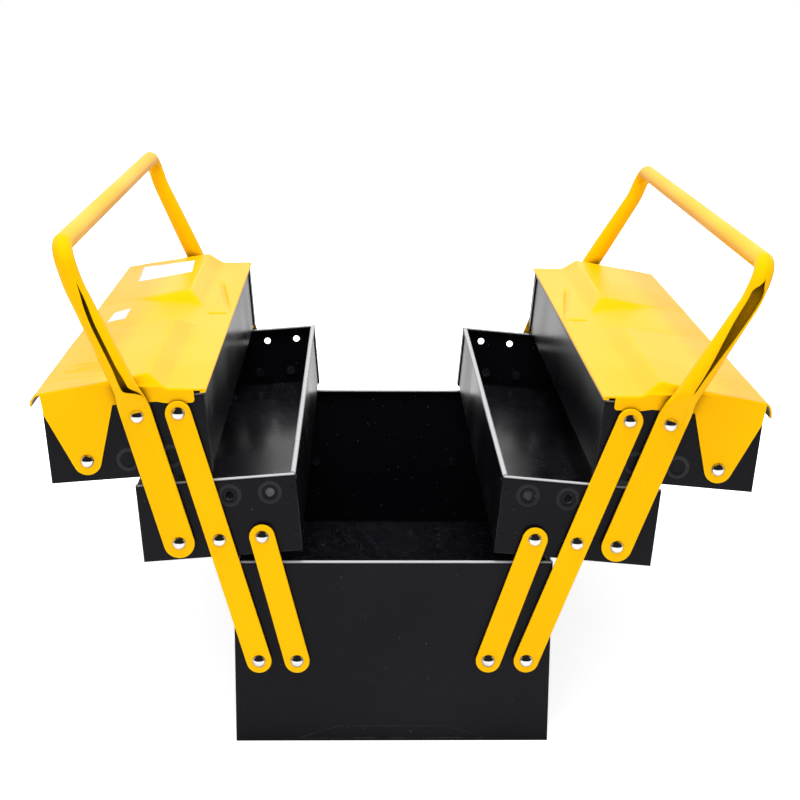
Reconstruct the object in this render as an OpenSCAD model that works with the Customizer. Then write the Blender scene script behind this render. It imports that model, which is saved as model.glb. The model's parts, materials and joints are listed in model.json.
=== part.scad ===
// Cantilever tool box: a base box and four trays of folded sheet steel.
// Each pair of trays swings outward on flat arms riveted to the end walls.
// The origin is the middle of the base's underside, and the front end faces -Y.
// Each side is drawn as the right one, with outward as +X, and mirrored for the left.

/* [Boxes] */
// Length of all five boxes, front to back
box_len = 450; // [300:1:600]
// Width of the base box
base_w = 208; // [196:1:230]
// Height of the base box to the top of its rim
base_h = 127; // [120:0.5:135]
// Height of the middle trays to the top of their rims
tray_h = 52.2; // [48:0.1:56]
// Height of the top trays' rims above the arms' upper pivots
rim_rise = 11.45; // [10:0.05:14]
// How much narrower a tray is than half of the base
tray_inset = 1; // [0.8:0.1:4]
// Thickness of the sheet steel
sheet = 1.2; // [0.8:0.1:1.5]
// Diameter of the rolled rims
rim_d = 4; // [3.4:0.1:5]
// Length of the end plates' flanges along the long sides
flange_len = 12; // [8:1:20]
// Gap between those flanges' upper edges and the rolled rims
flange_gap = 0.4; // [0.2:0.1:1]
// Height left between two closed boxes
stack_gap = 0.3; // [0.2:0.1:1]
// Half of the gap between the closed middle trays
mid_gap = 1.2; // [0.8:0.1:2]
// Half of the gap between the closed top trays
top_gap = 1.9; // [1.6:0.1:3]

/* [End plates] */
// Diameter of the dished rings round the spare pivot holes
ring_d = 16; // [13:0.1:17]
// Depth of the dished rings and of the foot panel
press_depth = 0.5; // [0.3:0.05:0.7]
// Diameter of the open spare holes in the middle trays
spare_d = 5.6; // [4:0.1:6]
// Width of the pressed foot panel at its lower edge
foot_w = 124; // [90:1:140]
// Width of the pressed foot panel at its upper edge
foot_top_w = 72; // [40:1:80]
// Height of the pressed foot panel
foot_h = 8.5; // [6:0.5:12]
// Height of the foot panel's lower edge above the floor
foot_z = 2; // [1.5:0.1:4]

/* [Arms and straps] */
// Distance between the pivots of the arms' lower part
arm_low = 87.5; // [84:0.5:91]
// Distance between the pivots of the arms' upper part
arm_high = 88; // [85:0.5:91]
// Width of the flat arms
arm_w = 16.5; // [14:0.5:18]
// Thickness of the arms and of the handle straps
arm_t = 2.2; // [1.6:0.1:3]
// Thickness of the washers that carry the arms off the end walls
washer_t = 2; // [1.8:0.1:3]
// Diameter of the washers
washer_d = 10.8; // [9:0.1:11]
// Height of the base's pivots above its underside
pivot_h = 59; // [54:0.5:64]
// Distance of the outer base pivots from the base's side
pivot_inset = 16; // [13:0.5:19]
// Distance between the two base pivots of one side
base_pitch = 25; // [24.5:0.1:25.5]
// Distance from the long arm's pivot to the short arm's pivot on a tray
tray_pitch = 27.5; // [27:0.1:28]
// Distance from the long arm's pivots to the handle strap's pivots
strap_pitch = 26; // [23:0.5:28]
// Side play in each sliding joint, on each side of an arm
side_play = 0.1; // [0.05:0.05:0.2]

/* [Rivets] */
// Diameter of the rivets' shanks
shank_d = 5; // [4:0.1:5.5]
// Diameter of the domed heads
head_d = 8.8; // [7.5:0.1:9.5]
// Height of the domed heads
head_h = 2.8; // [2:0.1:3.2]
// Diameter of the flat tails inside the boxes
tail_d = 8.4; // [7.5:0.1:9.5]
// Thickness of the flat tails
tail_t = 1.4; // [1:0.1:2]
// Radial running clearance of a rivet in an arm
rivet_play = 0.06; // [0.03:0.01:0.1]
// Radial slack of the short arms' upper holes
loop_slack = 0.5; // [0.4:0.05:0.6]
// Radial slack of the straps' lower holes
strap_slack = 0.15; // [0.1:0.05:0.3]
// Radial clearance of a rivet in the plate that it is fixed in
plate_play = 0.02; // [0.01:0.01:0.04]

/* [Handles] */
// Width of the flat straps
strap_w = 20; // [17:0.5:22]
// Width of the shallow groove pressed along each strap
groove_w = 8; // [6:0.5:10]
// Length of the flat strap above its upper pivot
strap_top = 25; // [20:0.5:28]
// Outward bend of the handle's legs, in degrees
leg_bend = 8.3; // [4:0.1:12]
// Length from the bend to the middle of the crossbar
leg_len = 93; // [80:1:110]
// Length over which the strap rolls up into a tube
roll_len = 20; // [14:1:24]
// Outer diameter of the rolled tube
tube_d = 12.8; // [11:0.1:15]
// Radius of the corners, at the middle of the tube
corner_r = 13; // [11:0.5:18]
// Width of the open seam along the legs
seam_w = 4.5; // [3:0.5:6]
// Direction that the seams face, in degrees from straight out of the box's ends
seam_turn = 35; // [0:5:60]

/* [Lids] */
// Gap between a closed lid's inner hem and the tray's rim
lid_gap = 0.35; // [0.3:0.05:0.8]
// How far a lid reaches past the tray's inner side
lid_reach = 1.5; // [1:0.1:1.6]
// How far a lid's flat sheet reaches past the tray's outer side
lid_over = 0.5; // [0:0.1:1]
// Rise of the lid's base sheet from its inner to its outer edge
lid_rise = 4.6; // [3:0.1:6]
// Distance from the inner edge to the crown of the base sheet
crown_in = 81.5; // [76:0.5:86]
// Height of the crown above the inner edge
crown_rise = 6.2; // [5.4:0.1:6.6]
// Distance from the inner edge to the foot of the raised panels
foot_in = 25; // [20:0.5:30]
// Distance from the inner edge to the ridge of the raised panels
ridge_in = 36; // [33:0.5:42]
// Height of the ridge above the inner edge
ridge_rise = 11.8; // [9:0.1:14]
// Half of the width of the valley between the raised panels
valley_half = 31; // [20:1:40]
// Length of the panels' slopes beside the valley
valley_slope = 24; // [15:1:30]
// Length of the panels' slopes at the lid's ends
end_slope = 8; // [6:0.5:12]
// Radius of the turned-down outer lip
lip_r = 4.5; // [3.5:0.1:5]
// Distance that the outer lip hangs below the tray's rim
lip_drop = 4.5; // [3:0.1:6]
// Width of the folded hem along the inner edge
lid_hem = 4; // [3:0.1:5]
// Distance from a lid's inner edge to its end flanges
flange_in = 8; // [6:0.5:12]
// Gap between a lid's end flanges and the tray's end walls
ear_gap = 0.4; // [0.3:0.05:0.5]
// Distance that the end flanges hang below the tray's rim
skirt_drop = 4; // [3:0.1:5]
// Height of the lid's pivots above the top tray's underside
lid_pivot_h = 13.4; // [12:0.1:16]
// Radius of the ears round the lid's pivots
ear_r = 9; // [8:0.1:9.5]
// How far the ears' straight sides run inside their round ends
ear_blend = 0.1; // [0.05:0.05:0.3]
// Distance from a lid's pivot to the inner corner of its ear
ear_in = 20.2; // [16:0.2:24]
// Distance from the tray's rim down to the outer shoulder of the ear
ear_shoulder = 11; // [8:0.5:14]

/* [Pose] */
// Outward lean of the left arms, in degrees
left_lean = 16.2; // [0:0.1:21]
// Outward lean of the right arms, in degrees
right_lean = 20.7; // [0:0.1:21]
// Inward lean of the arms when the box is closed, in degrees
closed_lean = 23; // [22:0.1:24]
// Tilt that the trays gain for each degree of the arms
droop = 0.12; // [0.1:0.01:0.13]

/* [Hidden] */
$fn = 48;

// Overshoot of cuts past the face that they open, and the least one
over = 1;
graze = 0.01;
// Thickness of the flat slice that a rolled tube grows out of
slice = 0.5;

black = [0.03, 0.03, 0.04];
yellow = [1, 0.76, 0];
chrome = [0.8, 0.8, 0.82];

// Ends of the boxes, and the layers outward from an end wall
end_y = box_len / 2;
arm_y = washer_t + side_play;
head_y = arm_y + arm_t + side_play;
ear_y = ear_gap + sheet + side_play;
tray_w = base_w / 2 - tray_inset;

// Base pivots, from the middle of the base
outer_pivot = [base_w / 2 - pivot_inset, pivot_h];
inner_pivot = [outer_pivot.x - base_pitch, pivot_h];

// Heights of the arm pivots above a tray's underside, so that closed boxes stack
mid_row = pivot_h + arm_low * cos(closed_lean) - base_h - stack_gap;
top_row = arm_high * cos(closed_lean) + mid_row - tray_h - stack_gap;

// Height of the top trays, so that their rims stay clear of the pivots
top_h = top_row + rim_rise;

// Long arm pivots across each tray, from the tray's middle
mid_pivot_x = outer_pivot.x - arm_low * sin(closed_lean) - tray_w / 2 - mid_gap;
top_pivot_x = outer_pivot.x - (arm_low + arm_high) * sin(closed_lean) - tray_w / 2 - top_gap;

// Points of a lid across its tray, from the tray's middle and underside
lid_in_x = -tray_w / 2 - lid_reach;
lid_out_x = tray_w / 2 + lid_over;
lid_in_z = top_h + lid_gap + 2 * sheet;
crown_x = lid_in_x + crown_in;
lid_end_y = end_y + ear_gap + sheet;
lid_pivot = [mid_pivot_x + strap_pitch, lid_pivot_h];
skirt_z = top_h - skirt_drop;

// Point at a distance along an arm that leans outward
function along(lean, dist) = [dist * sin(lean), dist * cos(lean)];

// Turn a point clockwise, as a tray tilts outward
function turned(p, tilt) = [p.x * cos(tilt) + p.y * sin(tilt), p.y * cos(tilt) - p.x * sin(tilt)];

function tilt_of(lean) = droop * (lean + closed_lean);
function mid_pivot(lean) = outer_pivot + along(lean, arm_low);
function top_pivot(lean) = outer_pivot + along(lean, arm_low + arm_high);
function short_pivot(lean) = mid_pivot(lean) + turned([-tray_pitch, 0], tilt_of(lean));
function short_lean(lean) = let (d = short_pivot(lean) - inner_pivot) atan2(d.x, d.y);

// Length of the short arms: the distance between its pivots half way through the travel
short_len = norm(short_pivot(0) - inner_pivot);

// Height of a lid's base sheet, which rises to its crown and falls to its outer edge
function lid_z(x) = lid_in_z + lookup(x, [
    [lid_in_x, 0],
    [crown_x, crown_rise],
    [lid_out_x, lid_rise]
]);

// Point where the line from p touches a circle, on the side given by turn = 1 or -1
function tangent(p, centre, r, turn) =
    let (
        d = p - centre,
        bearing = atan2(d.y, d.x),
        spread = acos(r / norm(d))
    )
    centre + r * [cos(bearing + turn * spread), sin(bearing + turn * spread)];

// ---- placing ----

// Mirror a right-hand part for the left side
module on_side(left) {
    mirror([left ? 1 : 0, 0, 0]) children();
}

// Mirror a front part for the back end
module at_end(back) {
    mirror([0, back ? 1 : 0, 0]) children();
}

// Stand a flat outline up on the front end wall, dist mm off it
module on_wall(dist, thick) {
    translate([0, -end_y - dist, 0])
        rotate([90, 0, 0])
            linear_extrude(thick) children();
}

// Move to a pivot and lean outward
module lean_at(pivot, lean) {
    translate([pivot.x, 0, pivot.y])
        rotate([0, lean, 0]) children();
}

// Place a middle tray's own frame: the middle of its underside
module in_mid_tray(lean) {
    lean_at(mid_pivot(lean), tilt_of(lean))
        translate([-mid_pivot_x, 0, -mid_row]) children();
}

// Place a top tray's own frame: the middle of its underside
module in_top_tray(lean) {
    lean_at(top_pivot(lean), tilt_of(lean))
        translate([-top_pivot_x, 0, -top_row]) children();
}

// ---- boxes ----

// Floor and long sides of a box, with rolled rims
module box_shell(w, h) {
    side_x = w / 2 - 2 * sheet;
    difference() {
        rotate([90, 0, 0])
            linear_extrude(box_len - 2 * sheet, center = true) {
                translate([-side_x - sheet, 0]) square([2 * (side_x + sheet), sheet]);
                for (x = [-side_x - sheet, side_x]) {
                    translate([x, 0]) square([sheet, h - rim_d / 2]);
                }
                for (s = [-1, 1]) {
                    translate([s * (w / 2 - rim_d / 2), h - rim_d / 2]) circle(d = rim_d);
                }
            }
        for (y = [-end_y - over, end_y - rim_d]) {
            translate([-w / 2 - over, y, h - rim_d])
                cube([w + 2 * over, rim_d + over, rim_d + over]);
        }
    }
}

// Front end plate of a box, with a rolled rim and flanges round both corners
module end_plate(w, h, pivots) {
    difference() {
        union() {
            translate([-w / 2, -end_y, 0]) cube([w, sheet, h - rim_d / 2]);
            for (x = [-w / 2, w / 2 - sheet]) {
                translate([x, -end_y, 0]) cube([sheet, flange_len, h - rim_d - flange_gap]);
            }
            translate([-w / 2, -end_y + rim_d / 2, h - rim_d / 2])
                rotate([0, 90, 0]) cylinder(d = rim_d, h = w);
        }
        for (p = pivots) {
            translate([p.x, 0, p.y]) wall_hole(shank_d + 2 * plate_play);
        }
    }
}

// Round hole through the front end wall
module wall_hole(d) {
    translate([0, -end_y + 2 * sheet, 0])
        rotate([90, 0, 0]) cylinder(d = d, h = 3 * sheet);
}

// Dished ring pressed into the front end wall
module ring_press() {
    translate([0, -end_y - graze, 0])
        rotate([-90, 0, 0]) cylinder(d1 = ring_d, d2 = ring_d / 2, h = press_depth + graze);
}

// Trapezoid foot panel pressed into the base's end wall
module foot_press() {
    on_wall(-press_depth, press_depth + over)
        polygon([
            [-foot_w / 2, foot_z],
            [foot_w / 2, foot_z],
            [foot_top_w / 2, foot_z + foot_h],
            [-foot_top_w / 2, foot_z + foot_h]
        ]);
}

// Pivots on the base's end wall, from the base's frame
function base_pivots() = [
    for (s = [-1, 1]) each [[s * inner_pivot.x, pivot_h], [s * outer_pivot.x, pivot_h]]
];

// Pivots on a tray's end wall, from the tray's frame
function mid_pivots() = [for (dx = [-tray_pitch, 0, strap_pitch]) [mid_pivot_x + dx, mid_row]];
function top_pivots() = [for (dx = [0, strap_pitch]) [top_pivot_x + dx, top_row]];

module base_shell() {
    color(black) box_shell(base_w, base_h);
}

module base_end(back) {
    color(black) at_end(back)
        difference() {
            end_plate(base_w, base_h, base_pivots());
            foot_press();
        }
}

module mid_shell(left, lean) {
    color(black) on_side(left) in_mid_tray(lean) box_shell(tray_w, tray_h);
}

module mid_end(left, lean, back) {
    color(black) on_side(left) in_mid_tray(lean) at_end(back)
        difference() {
            end_plate(tray_w, tray_h, mid_pivots());
            for (p = top_pivots()) {
                translate([p.x, 0, p.y]) {
                    ring_press();
                    wall_hole(spare_d);
                }
            }
        }
}

module top_shell(left, lean) {
    color(black) on_side(left) in_top_tray(lean) box_shell(tray_w, top_h);
}

module top_end(left, lean, back) {
    color(black) on_side(left) in_top_tray(lean) at_end(back)
        difference() {
            end_plate(tray_w, top_h, concat(top_pivots(), [lid_pivot]));
            for (dx = [-tray_pitch, 0]) {
                translate([mid_pivot_x + dx, 0, mid_row]) ring_press();
            }
        }
}

// ---- rivets and washers ----

// Rivet on the front end wall, with its head's seat dist mm off the wall
module rivet(dist) {
    ball_r = (head_h * head_h + head_d * head_d / 4) / (2 * head_h);
    translate([0, -end_y, 0]) rotate([90, 0, 0]) {
        translate([0, 0, -sheet - tail_t]) cylinder(d = tail_d, h = tail_t);
        translate([0, 0, -sheet]) cylinder(d = shank_d, h = sheet + dist);
        translate([0, 0, dist])
            intersection() {
                translate([0, 0, head_h - ball_r]) sphere(r = ball_r);
                cylinder(d = head_d + over, h = head_h + over);
            }
    }
}

// Rivets at a list of pivots, on both ends
module rivets_at(pivots, dist) {
    for (back = [false, true], p = pivots) {
        at_end(back) translate([p.x, 0, p.y]) rivet(dist);
    }
}

// Washers at a list of pivots, on both ends
module washers_at(pivots) {
    for (back = [false, true], p = pivots) {
        at_end(back)
            on_wall(0, washer_t)
                translate(p) difference() {
                    circle(d = washer_d);
                    circle(d = shank_d + 2 * plate_play);
                }
    }
}

module base_rivets() {
    color(chrome) rivets_at(base_pivots(), head_y);
}

module base_washers() {
    color(chrome) washers_at(base_pivots());
}

module mid_rivets(left, lean) {
    color(chrome) on_side(left) in_mid_tray(lean) rivets_at(mid_pivots(), head_y);
}

module mid_washers(left, lean) {
    color(chrome) on_side(left) in_mid_tray(lean) washers_at(mid_pivots());
}

module top_rivets(left, lean) {
    color(chrome) on_side(left) in_top_tray(lean) {
        rivets_at(top_pivots(), head_y);
        rivets_at([lid_pivot], ear_y);
    }
}

module top_washers(left, lean) {
    color(chrome) on_side(left) in_top_tray(lean) washers_at(top_pivots());
}

// ---- arms ----

// Outline of a flat arm with round ends, from height low to height high
module arm_outline(low, high, w) {
    translate([-w / 2, low]) square([w, high - low]);
    translate([0, low]) circle(d = w);
    translate([0, high]) circle(d = w);
}

module short_arm(left, lean, back) {
    color(yellow) on_side(left) lean_at(inner_pivot, short_lean(lean)) at_end(back)
        on_wall(arm_y, arm_t) difference() {
            arm_outline(0, short_len, arm_w);
            circle(d = shank_d + 2 * rivet_play);
            translate([0, short_len]) circle(d = shank_d + 2 * loop_slack);
        }
}

module long_arm(left, lean, back) {
    color(yellow) on_side(left) lean_at(outer_pivot, lean) at_end(back)
        on_wall(arm_y, arm_t) difference() {
            arm_outline(0, arm_low + arm_high, arm_w);
            for (z = [0, arm_low, arm_low + arm_high]) {
                translate([0, z]) circle(d = shank_d + 2 * rivet_play);
            }
        }
}

// ---- handles ----

// Flat strap of a handle, from its upper pivot
module strap() {
    difference() {
        on_wall(arm_y, arm_t) difference() {
            union() {
                arm_outline(-arm_high, 0, strap_w);
                translate([-strap_w / 2, 0]) square([strap_w, strap_top]);
            }
            circle(d = shank_d + 2 * rivet_play);
            translate([0, -arm_high]) circle(d = shank_d + 2 * strap_slack);
        }
        on_wall(arm_y + arm_t - press_depth, press_depth + over)
            arm_outline(-arm_high + strap_w, -strap_w, groove_w);
    }
}

// Rolled tube of a handle's leg, from the bend to the corner, with its open seam
// turned by turn degrees from straight out
module leg_tube(turn) {
    tube_y = end_y + arm_y + tube_d / 2;
    straight = leg_len - corner_r;
    difference() {
        translate([0, -tube_y, roll_len]) cylinder(d = tube_d, h = straight - roll_len);
        translate([0, -tube_y, roll_len + sheet])
            cylinder(d = tube_d - 2 * sheet, h = straight - roll_len);
        translate([0, -tube_y, roll_len + sheet])
            rotate([0, 0, turn])
                translate([-seam_w / 2, -tube_d, 0])
                    cube([seam_w, tube_d, straight - roll_len - tube_d]);
    }
    hull() {
        translate([-strap_w / 2, -end_y - arm_y - arm_t, -slice]) cube([strap_w, arm_t, slice]);
        translate([0, -tube_y, roll_len]) cylinder(d = tube_d, h = sheet, $fn = 32);
    }
    translate([0, corner_r - tube_y, straight])
        rotate([90, 0, -90])
            rotate_extrude(angle = 90)
                translate([corner_r, 0]) difference() {
                    circle(d = tube_d);
                    circle(d = tube_d - 2 * sheet);
                }
}

// Crossbar tube between the two corners
module crossbar() {
    reach = end_y + arm_y + tube_d / 2 - corner_r;
    translate([0, 0, leg_len])
        rotate([90, 0, 0])
            linear_extrude(2 * reach, center = true) difference() {
                circle(d = tube_d);
                circle(d = tube_d - 2 * sheet);
            }
}

module handle(left, lean) {
    color(yellow) on_side(left)
        lean_at(top_pivot(lean) + turned([strap_pitch, 0], tilt_of(lean)), lean) {
            for (back = [false, true]) at_end(back) {
                strap();
                lean_at([0, strap_top], leg_bend) leg_tube(left ? -seam_turn : seam_turn);
            }
            lean_at([0, strap_top], leg_bend) crossbar();
        }
}

// ---- lids ----

// Points of an arc, from one angle to another in equal steps
function arc(centre, r, from, to, steps) = [
    for (i = [0 : steps]) let (t = from + (to - from) * i / steps)
        centre + r * [cos(t), sin(t)]
];

// Cross-section of a lid: base sheet, inner hem and turned-down outer lip
module lid_section() {
    lip_c = [lid_out_x, lid_z(lid_out_x) - lip_r];
    lip_z = top_h - lip_drop;
    polygon(concat(
        [[lid_in_x, lid_in_z], [crown_x, lid_z(crown_x)]],
        arc(lip_c, lip_r, 90, 0, 8),
        [[lip_c.x + lip_r, lip_z], [lip_c.x + lip_r - sheet, lip_z]],
        arc(lip_c, lip_r - sheet, 0, 90, 8),
        [
            [crown_x, lid_z(crown_x) - sheet],
            [lid_in_x + lid_hem, lid_z(lid_in_x + lid_hem) - sheet],
            [lid_in_x + lid_hem, lid_in_z - 2 * sheet],
            [lid_in_x, lid_in_z - 2 * sheet]
        ]
    ));
}

// Raised panel at the front end of a lid. It sinks by drop, starts inset mm in
// from the lid's end and outer edge, and reaches skirt mm below the base sheet.
module raised_panel(drop, inset, skirt) {
    y0 = -lid_end_y + inset;
    y1 = -valley_half;
    foot_x = lid_in_x + foot_in;
    ridge_x = lid_in_x + ridge_in;
    out_x = lid_out_x - 2 * inset;
    ridge_z = lid_in_z + ridge_rise - drop;
    rim = [for (y = [y0, y1], x = [foot_x, crown_x, out_x]) [x, y]];
    polyhedron(
        points = concat(
            [for (p = rim) [p.x, p.y, lid_z(p.x) - drop]],
            [for (p = rim) [p.x, p.y, lid_z(p.x) - drop - skirt]],
            [[ridge_x, y0 + end_slope, ridge_z], [ridge_x, y1 - valley_slope, ridge_z]]
        ),
        faces = [
            [0, 3, 13, 12], [5, 2, 12, 13],
            [3, 4, 13], [4, 5, 13], [2, 1, 12], [1, 0, 12],
            [3, 0, 6, 9], [2, 5, 11, 8],
            [4, 3, 9, 10], [5, 4, 10, 11], [0, 1, 7, 6], [1, 2, 8, 7],
            [8, 11, 10, 7], [7, 10, 9, 6]
        ]
    );
}

// End flange of a lid, with the ear that reaches down to the pivot
module lid_flange() {
    in_x = lid_in_x + flange_in;
    out_x = tray_w / 2 - sheet / 2;
    near = [lid_pivot.x - ear_in, skirt_z];
    far = [out_x, top_h - ear_shoulder];
    on_wall(ear_gap, sheet) difference() {
        union() {
            polygon([
                [in_x, skirt_z],
                near,
                tangent(near, lid_pivot, ear_r - ear_blend, 1),
                lid_pivot,
                tangent(far, lid_pivot, ear_r - ear_blend, -1),
                far,
                [out_x, lid_z(out_x) - sheet / 2],
                [crown_x, lid_z(crown_x) - sheet / 2],
                [in_x, lid_z(in_x) - sheet / 2]
            ]);
            translate(lid_pivot) circle(r = ear_r);
        }
        translate(lid_pivot) circle(d = shank_d + 2 * rivet_play);
    }
}

module lid(left, lean) {
    color(yellow) on_side(left) in_top_tray(lean) {
        difference() {
            union() {
                rotate([90, 0, 0]) linear_extrude(2 * lid_end_y, center = true) lid_section();
                for (back = [false, true]) at_end(back) raised_panel(0, 0, sheet / 2);
            }
            for (back = [false, true]) at_end(back) raised_panel(sheet, sheet, 2 * sheet);
        }
        for (back = [false, true]) at_end(back) lid_flange();
    }
}

base_shell();
base_end(false);  // base_end_front
base_end(true);  // base_end_back
base_rivets();
base_washers();
mid_shell(true, left_lean);  // left_mid_shell
mid_end(true, left_lean, false);  // left_mid_end_front
mid_end(true, left_lean, true);  // left_mid_end_back
mid_rivets(true, left_lean);  // left_mid_rivets
mid_washers(true, left_lean);  // left_mid_washers
top_shell(true, left_lean);  // left_top_shell
top_end(true, left_lean, false);  // left_top_end_front
top_end(true, left_lean, true);  // left_top_end_back
top_rivets(true, left_lean);  // left_top_rivets
top_washers(true, left_lean);  // left_top_washers
short_arm(true, left_lean, false);  // left_short_arm_front
short_arm(true, left_lean, true);  // left_short_arm_back
long_arm(true, left_lean, false);  // left_long_arm_front
long_arm(true, left_lean, true);  // left_long_arm_back
handle(true, left_lean);  // left_handle
lid(true, left_lean);  // left_lid
mid_shell(false, right_lean);  // right_mid_shell
mid_end(false, right_lean, false);  // right_mid_end_front
mid_end(false, right_lean, true);  // right_mid_end_back
mid_rivets(false, right_lean);  // right_mid_rivets
mid_washers(false, right_lean);  // right_mid_washers
top_shell(false, right_lean);  // right_top_shell
top_end(false, right_lean, false);  // right_top_end_front
top_end(false, right_lean, true);  // right_top_end_back
top_rivets(false, right_lean);  // right_top_rivets
top_washers(false, right_lean);  // right_top_washers
short_arm(false, right_lean, false);  // right_short_arm_front
short_arm(false, right_lean, true);  // right_short_arm_back
long_arm(false, right_lean, false);  // right_long_arm_front
long_arm(false, right_lean, true);  // right_long_arm_back
handle(false, right_lean);  // right_handle
lid(false, right_lean);  // right_lid
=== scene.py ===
"""Looks of a cantilever tool box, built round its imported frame.

Everything is in metres in the frame's own axes: +Z is up and the front end faces -Y.
Sizes inside the classes are millimetres, and MM turns them into metres.
"""
import json
import logging
import math
from collections.abc import Callable, Iterable
from dataclasses import dataclass, replace
from enum import Enum

import bmesh
import bpy
from mathutils import Matrix, Vector, noise


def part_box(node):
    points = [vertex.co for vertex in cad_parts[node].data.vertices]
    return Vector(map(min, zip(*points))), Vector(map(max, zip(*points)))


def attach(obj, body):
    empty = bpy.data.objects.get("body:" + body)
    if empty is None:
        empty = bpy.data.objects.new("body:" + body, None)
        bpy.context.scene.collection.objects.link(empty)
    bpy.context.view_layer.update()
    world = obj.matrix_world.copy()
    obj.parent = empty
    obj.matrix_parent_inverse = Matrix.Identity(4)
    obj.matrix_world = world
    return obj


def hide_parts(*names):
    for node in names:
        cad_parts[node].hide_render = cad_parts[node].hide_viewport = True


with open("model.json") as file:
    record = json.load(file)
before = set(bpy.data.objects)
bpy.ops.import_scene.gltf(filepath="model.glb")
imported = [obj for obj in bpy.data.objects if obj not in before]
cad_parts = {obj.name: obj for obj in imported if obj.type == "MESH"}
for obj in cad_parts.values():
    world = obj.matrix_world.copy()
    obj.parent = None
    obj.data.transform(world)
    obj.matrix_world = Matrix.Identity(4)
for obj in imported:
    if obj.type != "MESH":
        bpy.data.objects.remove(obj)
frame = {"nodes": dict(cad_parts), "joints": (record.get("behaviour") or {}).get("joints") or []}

Built = bmesh.types.BMesh
Vert = bmesh.types.BMVert
Piece = bpy.types.Object
Material = bpy.types.Material
Tree = bpy.types.NodeTree
Node = bpy.types.Node
Socket = bpy.types.NodeSocket
Colour = tuple[float, float, float]
Point = tuple[float, float]
Span = tuple[float, float]

MM = 0.001
MERGE = 5e-6  # vertices nearer each other than this, in metres, become one
BUMP = 0.2 * MM  # height that the whole range of a bump stands for
SHARP = math.radians(50)  # edges that turn further stay sharp
LOG = logging.getLogger("tool_box")


# ---- choices ----

class Side(Enum):
    """Which side of the base a tray hangs on. The value is the sign of X."""

    LEFT = -1
    RIGHT = 1

    @property
    def label(self) -> str:
        """Word that starts the side's node and body names."""
        return self.name.lower()


class End(Enum):
    """Which end of the box a part is on. The value is the sign of Y."""

    FRONT = -1
    BACK = 1

    @property
    def label(self) -> str:
        """Word that ends the names of the end's parts."""
        return self.name.lower()


class Slot(Enum):
    """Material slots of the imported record."""

    BLACK = "black_paint"
    YELLOW = "yellow_paint"
    RIVET = "polished_rivet"
    WASHER = "zinc_washer"


class Row(Enum):
    """Rows of trays, with the word their nodes use and the word their bodies use."""

    MIDDLE = ("mid", "middle_tray")
    TOP = ("top", "top_tray")

    def node(self, side: Side) -> str:
        """Start of the names of a tray's nodes."""
        return f"{side.label}_{self.value[0]}"

    def body(self, side: Side) -> str:
        """Name of a tray's body."""
        return f"{side.label}_{self.value[1]}"


# ---- shader helpers ----

def add_node(tree: Tree, kind: str, **settings: object) -> Node:
    """Add a node and set its properties.

    Args:
        tree: The tree that gets the node.
        kind: The node's type name.
        **settings: Properties to set on it.

    Returns:
        The new node.
    """
    node = tree.nodes.new(kind)
    for name, value in settings.items():
        setattr(node, name, value)
    return node


def feed(tree: Tree, value: object, socket: Socket) -> None:
    """Link a socket to an input, or write a plain value there.

    Args:
        tree: The tree that holds the input.
        value: The socket or the plain value.
        socket: The input.
    """
    if isinstance(value, Socket):
        tree.links.new(value, socket)
    else:
        socket.default_value = value


def start_group(name: str, inputs: dict[str, float],
                outputs: tuple[str, ...]) -> tuple[Tree, Node, Node]:
    """Make a shader node group whose named sockets are all numbers.

    Args:
        name: The group's name.
        inputs: Default value of each number that goes in.
        outputs: Name of each number that comes out.

    Returns:
        The group, its input node and its output node.
    """
    group = bpy.data.node_groups.new(name, "ShaderNodeTree")
    number = "NodeSocketFloat"
    for label, value in inputs.items():
        socket = group.interface.new_socket(name=label, in_out="INPUT", socket_type=number)
        socket.default_value = value
    for label in outputs:
        group.interface.new_socket(name=label, in_out="OUTPUT", socket_type=number)
    return group, add_node(group, "NodeGroupInput"), add_node(group, "NodeGroupOutput")


def math_node(tree: Tree, operation: str, a: float | Socket, b: float | Socket) -> Socket:
    """Join two numbers or sockets with a Math node.

    Args:
        tree: The tree that gets the node.
        operation: The Math node's operation.
        a: First number or socket.
        b: Second number or socket.

    Returns:
        The node's output socket.
    """
    node = add_node(tree, "ShaderNodeMath", operation=operation)
    for socket, value in zip(node.inputs, (a, b)):
        feed(tree, value, socket)
    return node.outputs[0]


def noise_node(tree: Tree, scale: float | Socket, detail: float) -> Socket:
    """Add object-space noise.

    Args:
        tree: The tree that gets the nodes.
        scale: Scale as a number or a socket, in waves per metre.
        detail: Number of octaves.

    Returns:
        The noise's value socket.
    """
    place = add_node(tree, "ShaderNodeTexCoord")
    texture = add_node(tree, "ShaderNodeTexNoise")
    texture.inputs["Detail"].default_value = detail
    tree.links.new(place.outputs["Object"], texture.inputs["Vector"])
    feed(tree, scale, texture.inputs["Scale"])
    return texture.outputs["Fac"]


def ranged(tree: Tree, value: Socket, span: Span) -> Socket:
    """Map a span of values to 0 to 1, with soft ends.

    Args:
        tree: The tree that gets the node.
        value: The socket to map.
        span: Value that becomes 0, and value that becomes 1.

    Returns:
        The mapped value's socket.
    """
    node = add_node(tree, "ShaderNodeMapRange", interpolation_type="SMOOTHSTEP")
    for name, limit in zip(("From Min", "From Max"), span):
        node.inputs[name].default_value = limit
    tree.links.new(value, node.inputs["Value"])
    return node.outputs["Result"]


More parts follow.
